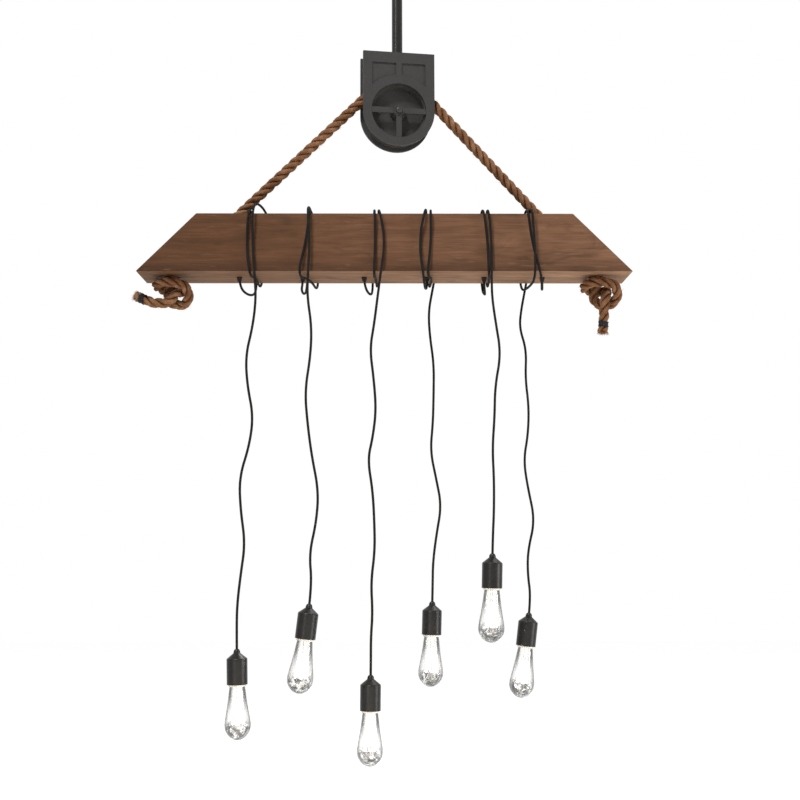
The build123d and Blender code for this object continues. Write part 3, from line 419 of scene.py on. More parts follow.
class Paint:
    """A material's node tree, with short ways to add to it."""

    def __init__(self, name):
        self.material = bpy.data.materials.new(name)
        self.material.use_nodes = True
        self.nodes = self.material.node_tree.nodes
        self.links = self.material.node_tree.links
        self.shader = self.nodes["Principled BSDF"]

    def set(self, **values):
        """Sets the shader's own sockets, by their names with underscores for spaces."""
        for name, value in values.items():
            self.shader.inputs[name.replace("_", " ")].default_value = value

    def feed(self, socket, source):
        """Joins a node's output to one of the shader's sockets."""
        self.links.new(source, self.shader.inputs[socket])

    def coordinates(self, kind="Object"):
        """Texture coordinates, from the object or from its UV map."""
        return self.nodes.new("ShaderNodeTexCoord").outputs[kind]

    def stretched(self, vector, scale):
        """Coordinates scaled by axis."""
        node = self.nodes.new("ShaderNodeMapping")
        node.inputs["Scale"].default_value = scale
        self.links.new(vector, node.inputs["Vector"])
        return node.outputs[0]

    def noise(self, vector, scale, detail=4.0, roughness=0.55, distortion=0.0):
        """Noise, from 0 to 1."""
        node = self.nodes.new("ShaderNodeTexNoise")
        node.inputs["Scale"].default_value = scale
        node.inputs["Detail"].default_value = detail
        node.inputs["Roughness"].default_value = roughness
        node.inputs["Distortion"].default_value = distortion
        self.links.new(vector, node.inputs["Vector"])
        return node.outputs[0]

    def ramp(self, source, stops):
        """Colours by value: each stop is a place and a colour."""
        node = self.nodes.new("ShaderNodeValToRGB")
        places = node.color_ramp.elements
        while len(places) < len(stops):
            places.new(0.5)
        for place, (at, colour) in zip(places, stops):
            place.position = at
            place.color = (*colour, 1.0)
        self.links.new(source, node.inputs[0])
        return node.outputs[0]

    def range(self, source, low, high, to_low, to_high):
        """A value moved from one range to another, kept within it."""
        node = self.nodes.new("ShaderNodeMapRange")
        for name, value in zip(("From Min", "From Max", "To Min", "To Max"), (low, high, to_low, to_high)):
            node.inputs[name].default_value = value
        self.links.new(source, node.inputs["Value"])
        return node.outputs["Result"]

    def math(self, operation, first, second=None):
        """Arithmetic on a source and a source or a number."""
        node = self.nodes.new("ShaderNodeMath")
        node.operation = operation
        for socket, value in zip(node.inputs, (first, second)):
            if isinstance(value, (int, float)):
                socket.default_value = value
            elif value is not None:
                self.links.new(value, socket)
        return node.outputs[0]

    def mix(self, factor, first, second, kind="MIX"):
        """Two colours mixed. Each is a source or a colour."""
        node = self.nodes.new("ShaderNodeMix")
        node.data_type = "RGBA"
        node.blend_type = kind
        for socket, value in zip((node.inputs[0], node.inputs[6], node.inputs[7]), (factor, first, second)):
            if isinstance(value, (int, float)):
                socket.default_value = value
            elif isinstance(value, tuple):
                socket.default_value = (*value, 1.0)
            else:
                self.links.new(value, socket)
        return node.outputs[2]

    def parts(self, vector):
        """A vector's three numbers."""
        node = self.nodes.new("ShaderNodeSeparateXYZ")
        self.links.new(vector, node.inputs[0])
        return node.outputs

    def bump(self, height, strength, distance):
        """Relief from a height, under whatever relief the shader already has."""
        node = self.nodes.new("ShaderNodeBump")
        node.inputs["Strength"].default_value = strength
        node.inputs["Distance"].default_value = distance
        self.links.new(height, node.inputs["Height"])
        normal = self.shader.inputs["Normal"]
        if normal.is_linked:
            self.links.new(normal.links[0].from_socket, node.inputs["Normal"])
        self.links.new(node.outputs[0], normal)

    def facing(self, blend):
        """How far the surface is seen edge on, from 0 to 1."""
        node = self.nodes.new("ShaderNodeLayerWeight")
        node.inputs["Blend"].default_value = blend
        return node.outputs["Facing"]


def dress(names, paint):
    """Gives CAD nodes a material."""
    for name in names:
        mesh = frame["nodes"][name].data
        mesh.materials.clear()
        mesh.materials.append(paint.material)


def soften(names, width):
    """Rounds the hard edges of CAD nodes a little, so that they catch the light."""
    for name in names:
        bevel = frame["nodes"][name].modifiers.new("soft_edges", "BEVEL")
        bevel.width = width * MM
        bevel.segments = EDGE_FACES
        bevel.limit_method = "ANGLE"
        bevel.angle_limit = math.radians(EDGE_ANGLE)
        bevel.harden_normals = True


# Mesh helpers

def smooth_line(points):
    """The smooth line of a route: a NURBS spline with the route's points as its control points."""
    curve = bpy.data.curves.new("route", "CURVE")
    curve.dimensions = "3D"
    curve.resolution_u = LINE_RESOLUTION
    spline = curve.splines.new("NURBS")
    spline.points.add(len(points) - 1)
    for place, point in zip(spline.points, points):
        place.co = (*(Vector(point) * MM), 1.0)
    spline.order_u = 3
    spline.use_endpoint_u = True
    holder = bpy.data.objects.new("route", curve)
    mesh = bpy.data.meshes.new_from_object(holder)
    line = [v.co.copy() for v in mesh.vertices]
    bpy.data.meshes.remove(mesh)
    bpy.data.objects.remove(holder)
    bpy.data.curves.remove(curve)
    return line


def even(line, step):
    """A line's points again, about a step apart."""
    lengths = [0.0]
    for a, b in zip(line, line[1:]):
        lengths.append(lengths[-1] + (b - a).length)
    count = max(2, round(lengths[-1] / step))
    points, i = [], 0
    for k in range(count + 1):
        at = lengths[-1] * k / count
        while i < len(line) - 2 and lengths[i + 1] < at:
            i += 1
        span = lengths[i + 1] - lengths[i]
        points.append(line[i].lerp(line[i + 1], (at - lengths[i]) / span if span else 0.0))
    return points, lengths[-1]


def frames(line):
    """At each point of a line, two directions square to it that don't twist along it."""
    ahead = [(b - a).normalized() for a, b in zip(line, line[1:])]
    ahead.append(ahead[-1])
    side = ahead[0].orthogonal().normalized()
    made = []
    for direction in ahead:
        side = (side - direction * side.dot(direction)).normalized()
        made.append((side, direction.cross(side)))
    return made


def tube(name, rings, closed_ends=True):
    """A mesh from rings of points, with a UV map: u round the ring and v along the tube, in metres."""
    sides = len(rings[0])
    mesh = bpy.data.meshes.new(name)
    verts = [p for ring in rings for p in ring]
    faces = []
    for k in range(len(rings) - 1):
        for s in range(sides):
            t = (s + 1) % sides
            faces.append((k * sides + s, k * sides + t, (k + 1) * sides + t, (k + 1) * sides + s))
    if closed_ends:
        faces.append(tuple(range(sides - 1, -1, -1)))
        last = (len(rings) - 1) * sides
        faces.append(tuple(last + s for s in range(sides)))
    mesh.from_pydata([tuple(v) for v in verts], [], faces)
    uv = mesh.uv_layers.new(name="UVMap").data
    middles = [sum(ring, Vector()) / sides for ring in rings]
    along = [0.0]
    for a, b in zip(middles, middles[1:]):
        along.append(along[-1] + (b - a).length)
    loop = 0
    for k in range(len(rings) - 1):
        for s in range(sides):
            for corner, (ring, turn) in enumerate(((k, s), (k, s + 1), (k + 1, s + 1), (k + 1, s))):
                uv[loop + corner].uv = (turn / sides, along[ring])
            loop += 4
    mesh.polygons.foreach_set("use_smooth", [True] * len(mesh.polygons))
    piece = bpy.data.objects.new(name, mesh)
    bpy.context.scene.collection.objects.link(piece)
    return piece


def round_rings(line, radius, sides):
    """Rings of a plain round tube along a line."""
    turns = [2 * math.pi * s / sides for s in range(sides)]
    rings = []
    for point, (side, lift) in zip(line, frames(line)):
        rings.append([point + (side * math.cos(a) + lift * math.sin(a)) * radius for a in turns])
    return rings


def join(name, pieces):
    """Several pieces made into one, which keeps their materials and UV maps."""
    bpy.ops.object.select_all(action="DESELECT")
    for piece in pieces:
        piece.select_set(True)
    bpy.context.view_layer.objects.active = pieces[0]
    bpy.ops.object.join()
    whole = bpy.context.view_layer.objects.active
    whole.name = name
    whole.data.name = name
    return whole


def lathe(name, outline, sides, place, up):
    """A mesh turned about an axis, from (radius, height) points in millimetres."""
    turn = Vector((0, 0, 1)).rotation_difference(up)
    rings = []
    for radius, height in outline:
        ring = []
        for s in range(sides):
            a = 2 * math.pi * s / sides
            local = Vector((radius * math.cos(a), radius * math.sin(a), height)) * MM
            ring.append(place + turn @ local)
        rings.append(ring)
    return tube(name, rings, closed_ends=False)


def at_distance(line, around, distance, step):
    """The point and the two square directions at a distance along an evenly divided line.

    The distance is kept just short of the line's last point.
    """
    last = len(line) - 1.001
    where = min(max(distance / step, 0.0), last)
    i = int(where)
    part = where - i
    point = line[i].lerp(line[i + 1], part)
    return point, around[i][0].lerp(around[i + 1][0], part), around[i][1].lerp(around[i + 1][1], part)


def hairs(name, roots, radius):
    """Many fine three-sided fibres as one mesh. Each root is a point, a direction and a sag."""
    sides = 3
    verts, faces = [], []
    for point, direction, droop in roots:
        across = direction.orthogonal().normalized() * radius
        lift = direction.normalized().cross(across)
        first = len(verts)
        for k, share in enumerate((0.0, 0.5, 1.0)):
            middle = point + direction * share + droop * share * share
            width = 1.0 - FIBRE_TAPER * k
            for s in range(sides):
                a = 2 * math.pi * s / sides
                verts.append(middle + (across * math.cos(a) + lift * math.sin(a)) * width)
        for ring in (first, first + sides):
            for s in range(sides):
                t = (s + 1) % sides
                faces.append((ring + s, ring + t, ring + sides + t, ring + sides + s))
        faces.append((first + 2, first + 1, first))
        faces.append((first + 6, first + 7, first + 8))
    mesh = bpy.data.meshes.new(name)
    mesh.from_pydata([tuple(v) for v in verts], [], faces)
    piece = bpy.data.objects.new(name, mesh)
    bpy.context.scene.collection.objects.link(piece)
    return piece


# Routes

def winding_points(index):
    """The route of a cord from its bushing round the beam to where it lets go."""
    winding = WINDINGS[index]
    points = [(BUSHING_X[index], 0.0, CORD_INSIDE), (BUSHING_X[index], 0.0, -CORD_STRAIGHT)]
    points += winding["loop"]
    for name, x, lift in winding["turns"]:
        y, z, out_y, out_z = STATIONS[name]
        points.append((x, y + lift * out_y, z + lift * out_z))
    pivot_x, pivot_y = winding["pivot"]
    points.append((pivot_x, pivot_y, -PIVOT_BELOW_BEAM))
    return points


def cord_points(index):
    """The whole route of a cord, from its bushing to the inside of its lamp holder."""
    depth = WINDINGS[index]["pivot"][1]
    points = winding_points(index) + [(x, depth, z) for x, z in DROPS[index]]
    return [(x, y, z + BEAM_BOTTOM) for x, y, z in points]


def rope_corner(hole_x):
    """Where a rope run would meet the level line over the sheave, on that hole's side."""
    rise = AXLE_ABOVE_BEAM - BEAM_HEIGHT / 2
    lean = math.atan2(abs(hole_x), rise) - math.asin(ROPE_TURN_RADIUS / math.hypot(hole_x, rise))
    reach = ROPE_TURN_RADIUS * math.tan((math.pi / 2 - lean) / 2)
    return Vector((0.0, 0.0, AXLE_ABOVE_BEAM + ROPE_TURN_RADIUS)) + BLOCK_RIGHT * math.copysign(reach, hole_x)


def rope_line(hole_x):
    """A point at the middle of a rope hole and the direction from it up to the sheave."""
    start = Vector((hole_x, 0.0, BEAM_HEIGHT / 2))
    return start, (rope_corner(hole_x) - start).normalized()


def along(line, height):
    """The point of a rope line at a height above the beam's bottom."""
    start, direction = line
    return start + direction * ((height - start.z) / direction.z)


def knot_points(hole_x, shape):
    """The route of a knot, from inside its hole to the rope's cut end."""
    line = rope_line(hole_x)
    bend = along(line, shape[0][2])
    return [along(line, KNOT_START), bend] + [Vector((bend.x + x, bend.y + y, z)) for x, y, z in shape[1:]]


def rope_route():
    """The whole rope's points, from the left tail's end over the sheave to the right tail's end."""
    left, right = rope_corner(LEFT_HOLE_X), rope_corner(RIGHT_HOLE_X)
    level = (right - left).length
    points = list(reversed(knot_points(LEFT_HOLE_X, LEFT_KNOT)))
    points += [left - rope_line(LEFT_HOLE_X)[1] * level, left]
    points += [right, right - rope_line(RIGHT_HOLE_X)[1] * level]
    points += knot_points(RIGHT_HOLE_X, RIGHT_KNOT)
    return [point + Vector((0.0, 0.0, BEAM_BOTTOM)) for point in points]


# Materials. Noise scales are per metre, and relief is in metres

def wood_paint():
    """Brown stained softwood: fine level grain, long streaks, darker smudges and a few pale flecks.

    It is paler to the right. Painted light makes it paler underneath, and painted shade darkens it along its
    foot.
    """
    paint = Paint("beam_wood")
    place = paint.coordinates()
    streaks = paint.noise(paint.stretched(place, (1.0, 8.0, 8.0)), 6.0, 8.0, 0.6, 0.8)
    fine = paint.noise(paint.stretched(place, (1.0, 32.0, 32.0)), 11.0, 6.0, 0.62)
    pores = paint.noise(paint.stretched(place, (1.0, 24.0, 24.0)), 44.0, 3.0, 0.6)
    smudge = paint.noise(paint.stretched(place, (1.0, 3.2, 3.2)), 7.5, 3.0, 0.5, 1.4)
    fleck = paint.noise(paint.stretched(place, (1.0, 9.0, 9.0)), 15.0, 2.0, 0.5)
    across, _, up = paint.parts(place)
    base = paint.ramp(streaks, [
        (0.32, (0.08, 0.0355, 0.0165)), (0.5, (0.1, 0.0445, 0.021)), (0.68, (0.124, 0.056, 0.027)),
    ])
    # Paler towards the right end
    paler_rightwards = paint.mix(paint.range(across, -0.4, 0.56, 0.0, 1.0), base, (1.93, 2.21, 2.68), "MULTIPLY")
    underside = [(BEAM_BOTTOM + height) * MM for height in UNDERSIDE]
    band = [(BEAM_BOTTOM + height) * MM for height in SHADED_FOOT_BAND]
    # Painted light: the underside is made paler, standing in for light from below
    under = paint.range(up, *underside, 1.0, 0.0)
    paler = paint.mix(under, paler_rightwards, (1.5, 1.65, 1.6), "MULTIPLY")
    # Painted shade: a darker brown along the foot of the faces, fading out upward, none on the underside
    low = paint.range(up, *band, 0.55, 0.0)
    foot_shade = paint.math("MULTIPLY", low, paint.math("SUBTRACT", 1.0, under))
    foot_shaded = paint.mix(foot_shade, paler, (0.035, 0.016, 0.009))
    lines = paint.ramp(fine, [(0.34, (0.72, 0.69, 0.67)), (0.6, (1.0, 1.0, 1.0))])
    grained = paint.mix(0.7, foot_shaded, lines, "MULTIPLY")
    dark = paint.mix(paint.range(smudge, 0.54, 0.74, 0.0, 0.5), grained, (0.035, 0.019, 0.012))
    pale = paint.mix(paint.range(fleck, 0.66, 0.76, 0.0, 0.3), dark, (0.24, 0.145, 0.09))
    paint.feed("Base Color", pale)
    paint.feed("Roughness", paint.range(streaks, 0.3, 0.7, 0.72, 0.58))
    paint.set(Specular_IOR_Level=0.12)
    paint.bump(pores, 0.25, 0.0004)
    paint.bump(fine, 0.35, 0.0006)
    paint.bump(streaks, 0.2, 0.001)
    return paint


def iron_paint(name, colour, relief, roughness):
    """Blackened iron, dull, with a sand-cast skin."""
    paint = Paint(name)
    place = paint.coordinates()
    cloud = paint.noise(place, 18.0, 6.0, 0.62)
    rubbed = paint.noise(place, 75.0, 4.0, 0.6)
    grit = paint.noise(place, 420.0, 3.0, 0.6)
    tone = paint.ramp(cloud, [(0.35, colour), (0.7, tuple(c * 1.25 for c in colour))])
    warm = paint.mix(paint.range(rubbed, 0.55, 0.75, 0.0, 0.35), tone, (0.045, 0.04, 0.036))
    paint.feed("Base Color", warm)
    paint.feed("Roughness", paint.range(cloud, 0.3, 0.7, roughness, roughness + 0.14))
    paint.set(Specular_IOR_Level=0.25)
    paint.bump(grit, relief, 0.0008)
    paint.bump(rubbed, relief * 0.5, 0.0012)
    return paint


def plain_paint(name, colour, roughness, metallic=0.0, shine=0.5):
    """A smooth finish with a faint mottle."""
    paint = Paint(name)
    cloud = paint.noise(paint.coordinates(), 60.0, 3.0)
    light = tuple(min(1.0, c * 1.18) for c in colour)
    paint.feed("Base Color", paint.ramp(cloud, [(0.3, colour), (0.75, light)]))
    paint.feed("Roughness", paint.range(cloud, 0.3, 0.7, roughness - 0.05, roughness + 0.05))
    paint.set(Metallic=metallic, Specular_IOR_Level=shine)
    return paint


def spun_paint(name, colour, roughness):
    """Satin black metal, spun, with fine rings round its axis."""
    paint = Paint(name)
    place = paint.coordinates()
    rings = paint.noise(paint.stretched(place, (0.4, 0.4, 26.0)), 60.0, 3.0, 0.6)
    cloud = paint.noise(place, 40.0, 4.0)
    paint.feed("Base Color", paint.ramp(cloud, [(0.3, colour), (0.75, tuple(c * 1.3 for c in colour))]))
    paint.feed("Roughness", paint.range(rings, 0.3, 0.7, roughness - 0.05, roughness + 0.07))
    paint.set(Metallic=1.0)
    paint.bump(rings, 0.12, 0.0003)
    return paint


def rope_paint():
    """Laid natural fibre: brown yarns, with painted shade in the grooves between the strands."""
    paint = Paint("rope_fibre")
    uv = paint.coordinates("UV")
    fibres = paint.noise(paint.stretched(uv, (34.0, 60.0, 1.0)), 6.0, 6.0, 0.65)
    cloud = paint.noise(paint.coordinates(), 38.0, 5.0)
    tone = paint.ramp(cloud, [
        (0.3, (0.16, 0.074, 0.034)), (0.5, (0.255, 0.126, 0.064)), (0.7, (0.37, 0.207, 0.118)),
    ])
    # Painted shade: darker towards the rope's middle, in the grooves between the strands
    hollow = paint.nodes.new("ShaderNodeAttribute")
    hollow.attribute_name = "from_middle"
    groove_shade = paint.range(hollow.outputs["Fac"], 0.5, 0.88, 0.85, 0.0)
    shaded = paint.mix(groove_shade, tone, (0.3, 0.2, 0.13), "MULTIPLY")
    threads = paint.ramp(fibres, [(0.3, (0.45, 0.4, 0.36)), (0.62, (1.0, 1.0, 1.0))])
    paint.feed("Base Color", paint.mix(0.8, shaded, threads, "MULTIPLY"))
    paint.set(Roughness=0.9, Specular_IOR_Level=0.08)
    paint.bump(fibres, 0.7, 0.0006)
    return paint


def cord_paint():
    """Black braided textile: two sets of threads that cross."""
    paint = Paint("cord_fabric")
    u, v, _ = paint.parts(paint.coordinates("UV"))
    turns = paint.math("MULTIPLY", u, 2 * math.pi * BRAID_THREADS)
    travel = paint.math("MULTIPLY", v, 2 * math.pi * BRAID_PER_METRE)
    one = paint.math("SINE", paint.math("ADD", turns, travel))
    other = paint.math("SINE", paint.math("SUBTRACT", turns, travel))
    weave = paint.math("MULTIPLY", one, other)
    fuzz = paint.noise(paint.coordinates(), 900.0, 3.0)
    tone = paint.range(weave, -1.0, 1.0, 0.0, 1.0)
    paint.feed("Base Color", paint.ramp(tone, [(0.1, (0.005, 0.005, 0.005)), (0.8, (0.014, 0.013, 0.012))]))
    paint.set(Roughness=0.85, Specular_IOR_Level=0.15)
    paint.bump(weave, 0.6, 0.0004)
    paint.bump(fuzz, 0.2, 0.0003)
    return paint


def glass_paint():
    """Clear lamp glass with rippled relief, and painted refraction that makes it greyer edge on, at the neck
    and in patches at its foot.
    """
    paint = Paint("bulb_glass")
    skin = (GLASS_OUTLINE[0][1] - GLASS_OUTLINE[-1][1]) * MM
    _, v, _ = paint.parts(paint.coordinates("UV"))
    depth = paint.math("SUBTRACT", skin, paint.math("ABSOLUTE", paint.math("SUBTRACT", v, skin)))
    facing = paint.facing(0.5)
    neck = paint.range(depth, *(place * MM for place in NECK_FADE), 1.0, 0.0)
    foot = paint.range(depth, *(place * MM for place in FOOT_REFRACTION_PATCHES), 0.0, 1.0)
    ripple = paint.noise(paint.coordinates(), 36.0, 2.0, 0.5, 2.5)
    # Painted refraction: a darker base colour edge on, at the neck and in patches at the foot
    rim = paint.range(facing, 0.3, 0.8, 0.0, 0.95)
    sides = paint.math("MULTIPLY", paint.range(facing, 0.12, 0.36, 0.0, 0.95), neck)
    patches = paint.math("MULTIPLY", paint.range(ripple, 0.43, 0.52, 0.0, 0.8), foot)
    painted_refraction = paint.math("MAXIMUM", paint.math("MAXIMUM", rim, sides), patches)
    paint.feed("Base Color", paint.mix(painted_refraction, (0.985, 0.98, 0.97), (0.14, 0.14, 0.132)))
    paint.set(Roughness=0.0, IOR=1.47, Transmission_Weight=1.0)
    paint.bump(ripple, 0.3, 0.002)
    return paint


def filament_paint():
    """White-hot filament."""
    paint = Paint("filament")
    paint.set(Base_Color=(1.0, 0.95, 0.85, 1.0), Emission_Color=(1.0, 0.93, 0.82, 1.0), Emission_Strength=6.0)
    return paint


# Rope

def girth(distance, length):
    """How thick the rope is there: drawn in under each binding and fuller at each cut end."""
    from_end = min(distance, length - distance) / MM
    under = (from_end - BAND_FROM_END - BAND_LENGTH / 2) / PINCH_REACH
    return 1.0 - PINCH * math.exp(-under ** 2) + FLARE * math.exp(-(from_end / FLARE_REACH) ** 2)


def strand(line, around, length, number, paint):
    """One strand: it winds about the rope's middle, and its yarns wind about it the other way.

    Each of its points holds how far it lies from the rope's middle, for the painted shade in the grooves.
    """
    step = length / (len(line) - 1)
    middle = []
    for i, (point, (side, lift)) in enumerate(zip(line, around)):
        a = 2 * math.pi * (number / STRANDS + i * step / (ROPE_LAY * MM))
        out = side * math.cos(a) + lift * math.sin(a)
        middle.append(point + out * STRAND_OFFSET * MM * girth(i * step, length))
    sides = YARNS * YARN_SIDES
    rings = []
    for i, (point, (side, lift)) in enumerate(zip(middle, frames(middle))):
        turn = -2 * math.pi * i * step / (YARN_LAY * MM)
        radius = STRAND_RADIUS * MM * girth(i * step, length)
        ring = []
        for s in range(sides):
            a = 2 * math.pi * s / sides
            r = radius * (1.0 - YARN_DEPTH + YARN_DEPTH * math.cos(YARNS * a))
            ring.append(point + (side * math.cos(a + turn) + lift * math.sin(a + turn)) * r)
        rings.append(ring)
    piece = tube(f"strand_{number}", rings)
    outside = (STRAND_OFFSET + STRAND_RADIUS) * MM
    depths = [(p - point).length / outside for point, ring in zip(line, rings) for p in ring]
    piece.data.attributes.new("from_middle", "FLOAT", "POINT").data.foreach_set("value", depths)
    piece.data.materials.append(paint.material)
    return piece


def bindings(line, around, length, paint):
    """The dark thread wound tight round the rope, short of each cut end."""
    step = length / (len(line) - 1)
    wound = []
    for turned in (False, True):
        route = []
        count = THREAD_TURNS * THREAD_STEPS
        for k in range(count + 1):
            distance = (BAND_FROM_END + BAND_LENGTH * k / count) * MM
            place = length - distance if turned else distance
            point, side, lift = at_distance(line, around, place, step)
            a = 2 * math.pi * THREAD_TURNS * k / count
            reach = (ROPE_RADIUS * girth(place, length) + THREAD_RADIUS) * MM
            route.append(point + (side * math.cos(a) + lift * math.sin(a)) * reach)
        wound.append(tube("thread", round_rings(route, THREAD_RADIUS * MM, THREAD_SIDES)))
    whole = join("rope_bindings", wound)
    whole.data.materials.append(paint.material)
    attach(whole, "hanger")
    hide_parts("rope_end_bands")
    return whole


def loose_fibres(line, around, length, chance, paint):
    """Fibres that stand off the rope along its length, and a brush of them at each cut end."""
    step = length / (len(line) - 1)
    down = Vector((0.0, 0.0, -1.0))
    roots = []
    margin = FIBRE_FROM_END * MM
    for _ in range(LOOSE_FIBRES):
        place = chance.uniform(margin, length - margin)
        point, side, lift = at_distance(line, around, place, step)
        a = chance.uniform(0.0, 2 * math.pi)
        out = side * math.cos(a) + lift * math.sin(a)
        ahead = side.cross(lift) * chance.choice((-1.0, 1.0))
        reach = chance.uniform(*FIBRE_LENGTH) * MM
        direction = (ahead * FIBRE_ALONG + out * chance.uniform(*FIBRE_LIFT)) * reach
        roots.append((point + out * ROPE_RADIUS * FIBRE_ROOT * MM, direction, down * reach * FIBRE_SAG))
    for place, sign in ((0.0, -1.0), (length, 1.0)):
        point, side, lift = at_distance(line, around, place, step)
        for _ in range(END_FIBRES):
            a = chance.uniform(0.0, 2 * math.pi)
            out = (side * math.cos(a) + lift * math.sin(a)) * math.sqrt(chance.random())
            direction = side.cross(lift) * sign + out * chance.uniform(*END_FIBRE_SPREAD)
            reach = chance.uniform(*END_FIBRE_LENGTH) * MM
            root = point + out * ROPE_RADIUS * END_FIBRE_ROOT * MM
            roots.append((root, direction * reach, down * reach * END_FIBRE_SAG))
    piece = hairs("rope_fibres", roots, FIBRE_RADIUS * MM)
    # The fibres stand clear of the grooves and take none of the painted shade
    full = [1.0] * len(piece.data.vertices)
    piece.data.attributes.new("from_middle", "FLOAT", "POINT").data.foreach_set("value", full)
    piece.data.materials.append(paint.material)
    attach(piece, "hanger")
    return piece


def rope(fibre, thread, chance):
    """The laid rope, whole: three strands from one cut end to the other."""
    line, length = even(smooth_line(rope_route()), ROPE_STEP * MM)
    around = frames(line)
    strands = [strand(line, around, length, k, fibre) for k in range(STRANDS)]
    whole = join("laid_rope", strands)
    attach(whole, "hanger")
    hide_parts("rope", "left_knot", "right_knot")
    on_it = [bindings(line, around, length, thread), loose_fibres(line, around, length, chance, fibre)]


# Cords and lamps

def cord(number, paint):
    """A fabric cord, from its bushing round the beam and down to its lamp holder."""
    line, length = even(smooth_line(cord_points(number - 1)), CORD_STEP * MM)
    piece = tube(f"fabric_cord_{number}", round_rings(line, CORD_RADIUS * MM, CORD_SIDES))
    piece.data.materials.append(paint.material)
    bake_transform(piece)
    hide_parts(f"cord_winding_{number}", f"cord_drop_{number}")


def lamp_axis(number):
    """The top of a lamp holder's cord grip, and the direction up its axis."""
    points = cord_points(number - 1)
    last = Vector(points[-1])
    up = (Vector(points[-2]) - last).normalized()
    return (last + up * CORD_IN_GRIP) * MM, up


def inset(outline, distance):
    """An outline's points moved inwards, square to the line through their neighbours."""
    moved = []
    for i, (radius, height) in enumerate(outline):
        before = outline[max(i - 1, 0)]
        after = outline[min(i + 1, len(outline) - 1)]
        run = math.dist(before, after)
        inward = radius + distance * (after[1] - before[1]) / run
        moved.append((max(inward, AXIS_RADIUS), height - distance * (after[0] - before[0]) / run))
    return moved


def rounded(outline, steps):
    """An outline with more points, on a smooth curve through its own."""
    made = []
    for i in range(len(outline) - 1):
        p = [Vector(outline[max(0, min(len(outline) - 1, i + d))]) for d in (-1, 0, 1, 2)]
        for s in range(steps):
            t = s / steps
            point = (
                p[1] * 2 + (p[2] - p[0]) * t + (p[0] * 2 - p[1] * 5 + p[2] * 4 - p[3]) * t ** 2
                + (p[1] * 3 - p[0] - p[2] * 3 + p[3]) * t ** 3
            ) / 2
            made.append((point.x, point.y))
    made.append(outline[-1])
    return made


def lamp_glass(number, paint):
    """The clear envelope, an outer and an inner skin."""
    place, up = lamp_axis(number)
    outer = rounded(GLASS_OUTLINE, GLASS_STEPS)
    outer[-1] = (AXIS_RADIUS, outer[-1][1])
    inner = inset(outer, GLASS_WALL)
    skin = lathe(f"lamp_glass_{number}", outer + list(reversed(inner)) + [outer[0]], GLASS_SIDES, place, up)
    weld = bmesh.new()
    weld.from_mesh(skin.data)
    bmesh.ops.remove_doubles(weld, verts=weld.verts, dist=WELD_DISTANCE * MM)
    bmesh.ops.recalc_face_normals(weld, faces=weld.faces)
    weld.to_mesh(skin.data)
    weld.free()
    skin.data.materials.append(paint.material)
    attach(skin, f"pendant_{number}")
    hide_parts(f"bulb_glass_{number}")


def filament_points():
    """Up and down between the upper and lower hooks, one leg at each angle."""
    points = []
    for k in range(CAGE_LEGS):
        a = 2 * math.pi * k / CAGE_LEGS
        ends = [(CAGE_TOP_RADIUS, CAGE_TOP), (CAGE_FOOT_RADIUS, CAGE_FOOT)]
        for radius, height in ends if k % 2 == 0 else reversed(ends):
            points.append(Vector((radius * math.cos(a), radius * math.sin(a), height)))
    return points


def wire_points():
    """The two leads, the middle rod and the spokes that hold the filament's loops."""
    routes = []
    for side in (-1, 1):
        corners = (LEAD_TOP, LEAD_BEND, (CAGE_TOP_RADIUS, CAGE_TOP))
        routes.append([(reach * side, 0, height) for reach, height in corners])
    routes.append([(0, 0, STEM_OUTLINE[-1][1] + ROD_IN_STEM), (0, 0, CAGE_FOOT - ROD_BELOW_CAGE)])
    for corner in filament_points():
        routes.append([(0, 0, corner.z), tuple(corner)])
    return [[Vector(p) for p in route] for route in routes]


def lamp_inside(number, glass, filament, steel):
    """The glass stem, its support wires and the cage of filament."""
    place, up = lamp_axis(number)
    turn = Vector((0, 0, 1)).rotation_difference(up)

    def wire(name, points, radius):
        line, _ = even([place + turn @ (p * MM) for p in points], WIRE_STEP * MM)
        return tube(name, round_rings(line, radius * MM, WIRE_SIDES))

    stem = lathe(f"lamp_stem_{number}", STEM_OUTLINE, STEM_SIDES, place, up)
    stem.data.materials.append(glass.material)
    thread = wire(f"lamp_filament_{number}", filament_points(), FILAMENT_RADIUS)
    thread.data.materials.append(filament.material)
    wires = [wire("wire", points, WIRE_RADIUS) for points in wire_points()]
    support = join(f"lamp_wires_{number}", wires)
    support.data.materials.append(steel.material)
    for piece, slot in ((stem, "bulb_glass"), (thread, "bulb_glass"), (support, "axle_steel")):
        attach(piece, f"pendant_{number}")


# The whole scene

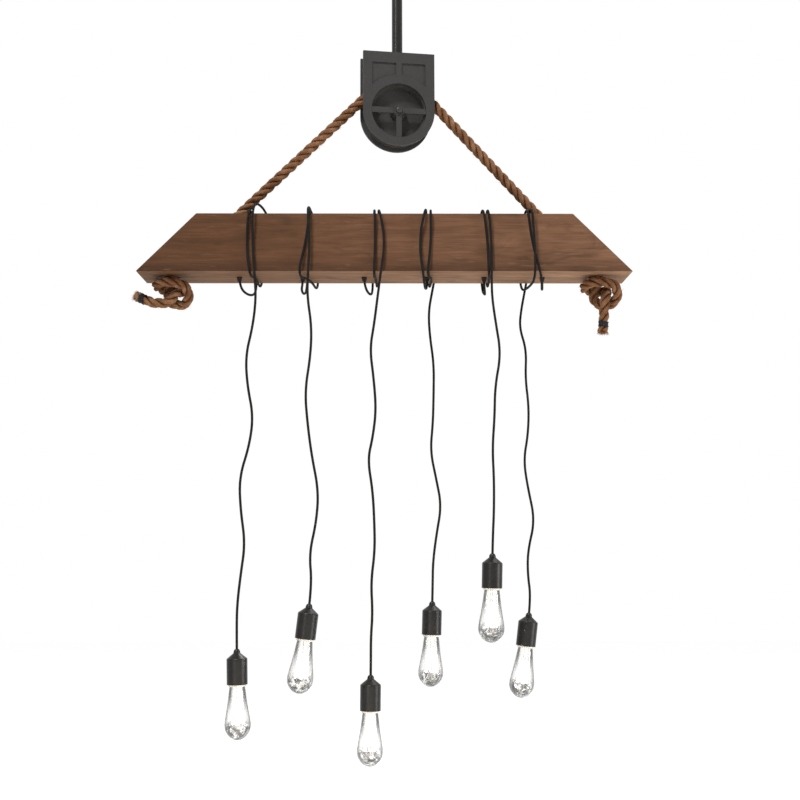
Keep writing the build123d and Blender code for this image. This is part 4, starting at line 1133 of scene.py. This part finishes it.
def dress_metal():
    """The iron, steel and brass pieces."""
    cast = iron_paint("block_iron", (0.028, 0.027, 0.027), 0.45, 0.55)
    wheel = iron_paint("sheave_iron", (0.034, 0.032, 0.03), 0.45, 0.5)
    pipe = plain_paint("pipe_iron", (0.004, 0.0035, 0.003), 0.3, shine=0.3)
    black = plain_paint("satin_black", (0.02, 0.019, 0.018), 0.4, shine=0.4)
    shell = spun_paint("socket_shell", (0.026, 0.025, 0.024), 0.36)
    steel = plain_paint("zinc_steel", (0.55, 0.55, 0.53), 0.32, 1.0)
    brass = plain_paint("brass", (0.65, 0.52, 0.3), 0.25, 1.0)
    dress(["front_cheek", "rear_cheek", "block_spacer"], cast)
    dress(["sheave"], wheel)
    dress(["stem"], pipe)
    dress(["canopy", "swivel_cap", "swivel_cup", "swivel_ball", "stem_cap", "axle", "axle_nut"], black)
    dress(["crossbar", "canopy_nipple", "canopy_nuts"], steel)
    dress([f"socket_shell_{i}" for i in PENDANTS], shell)
    dress([f"bulb_base_{i}" for i in PENDANTS], brass)
    soften(["front_cheek", "rear_cheek"], CHEEK_EDGE)
    soften(["sheave", "axle_nut", "block_spacer"], FITTING_EDGE)
    return steel


def dress_other():
    """The timber, plastic and porcelain pieces."""
    dress(["beam", "channel_cover"], wood_paint())
    dress(["swivel_ring", "splice_connectors"], plain_paint("pale_plastic", (0.7, 0.7, 0.66), 0.3))
    dress(["cord_bushings"], plain_paint("black_plastic", (0.007, 0.007, 0.007), 0.5, shine=0.2))
    porcelain = plain_paint("porcelain", (0.8, 0.77, 0.7), 0.15)
    dress([f"socket_core_{i}" for i in PENDANTS], porcelain)


def build():
    """Camera, room, lights and the dressed object."""
    camera()
    world()
    floor()
    for name, facts in LIGHTS.items():
        area_light(name, *facts)
    steel = dress_metal()
    dress_other()
    thread = plain_paint("dark_thread", (0.012, 0.013, 0.017), 0.7, shine=0.2)
    rope(rope_paint(), thread, random.Random(FIBRE_SEED))
    fabric = cord_paint()
    glass = glass_paint()
    filament = filament_paint()
    for number in PENDANTS:
        cord(number, fabric)
        lamp_glass(number, glass)
        lamp_inside(number, glass, filament, steel)
    bpy.context.scene.view_settings.view_transform = "Standard"


build()
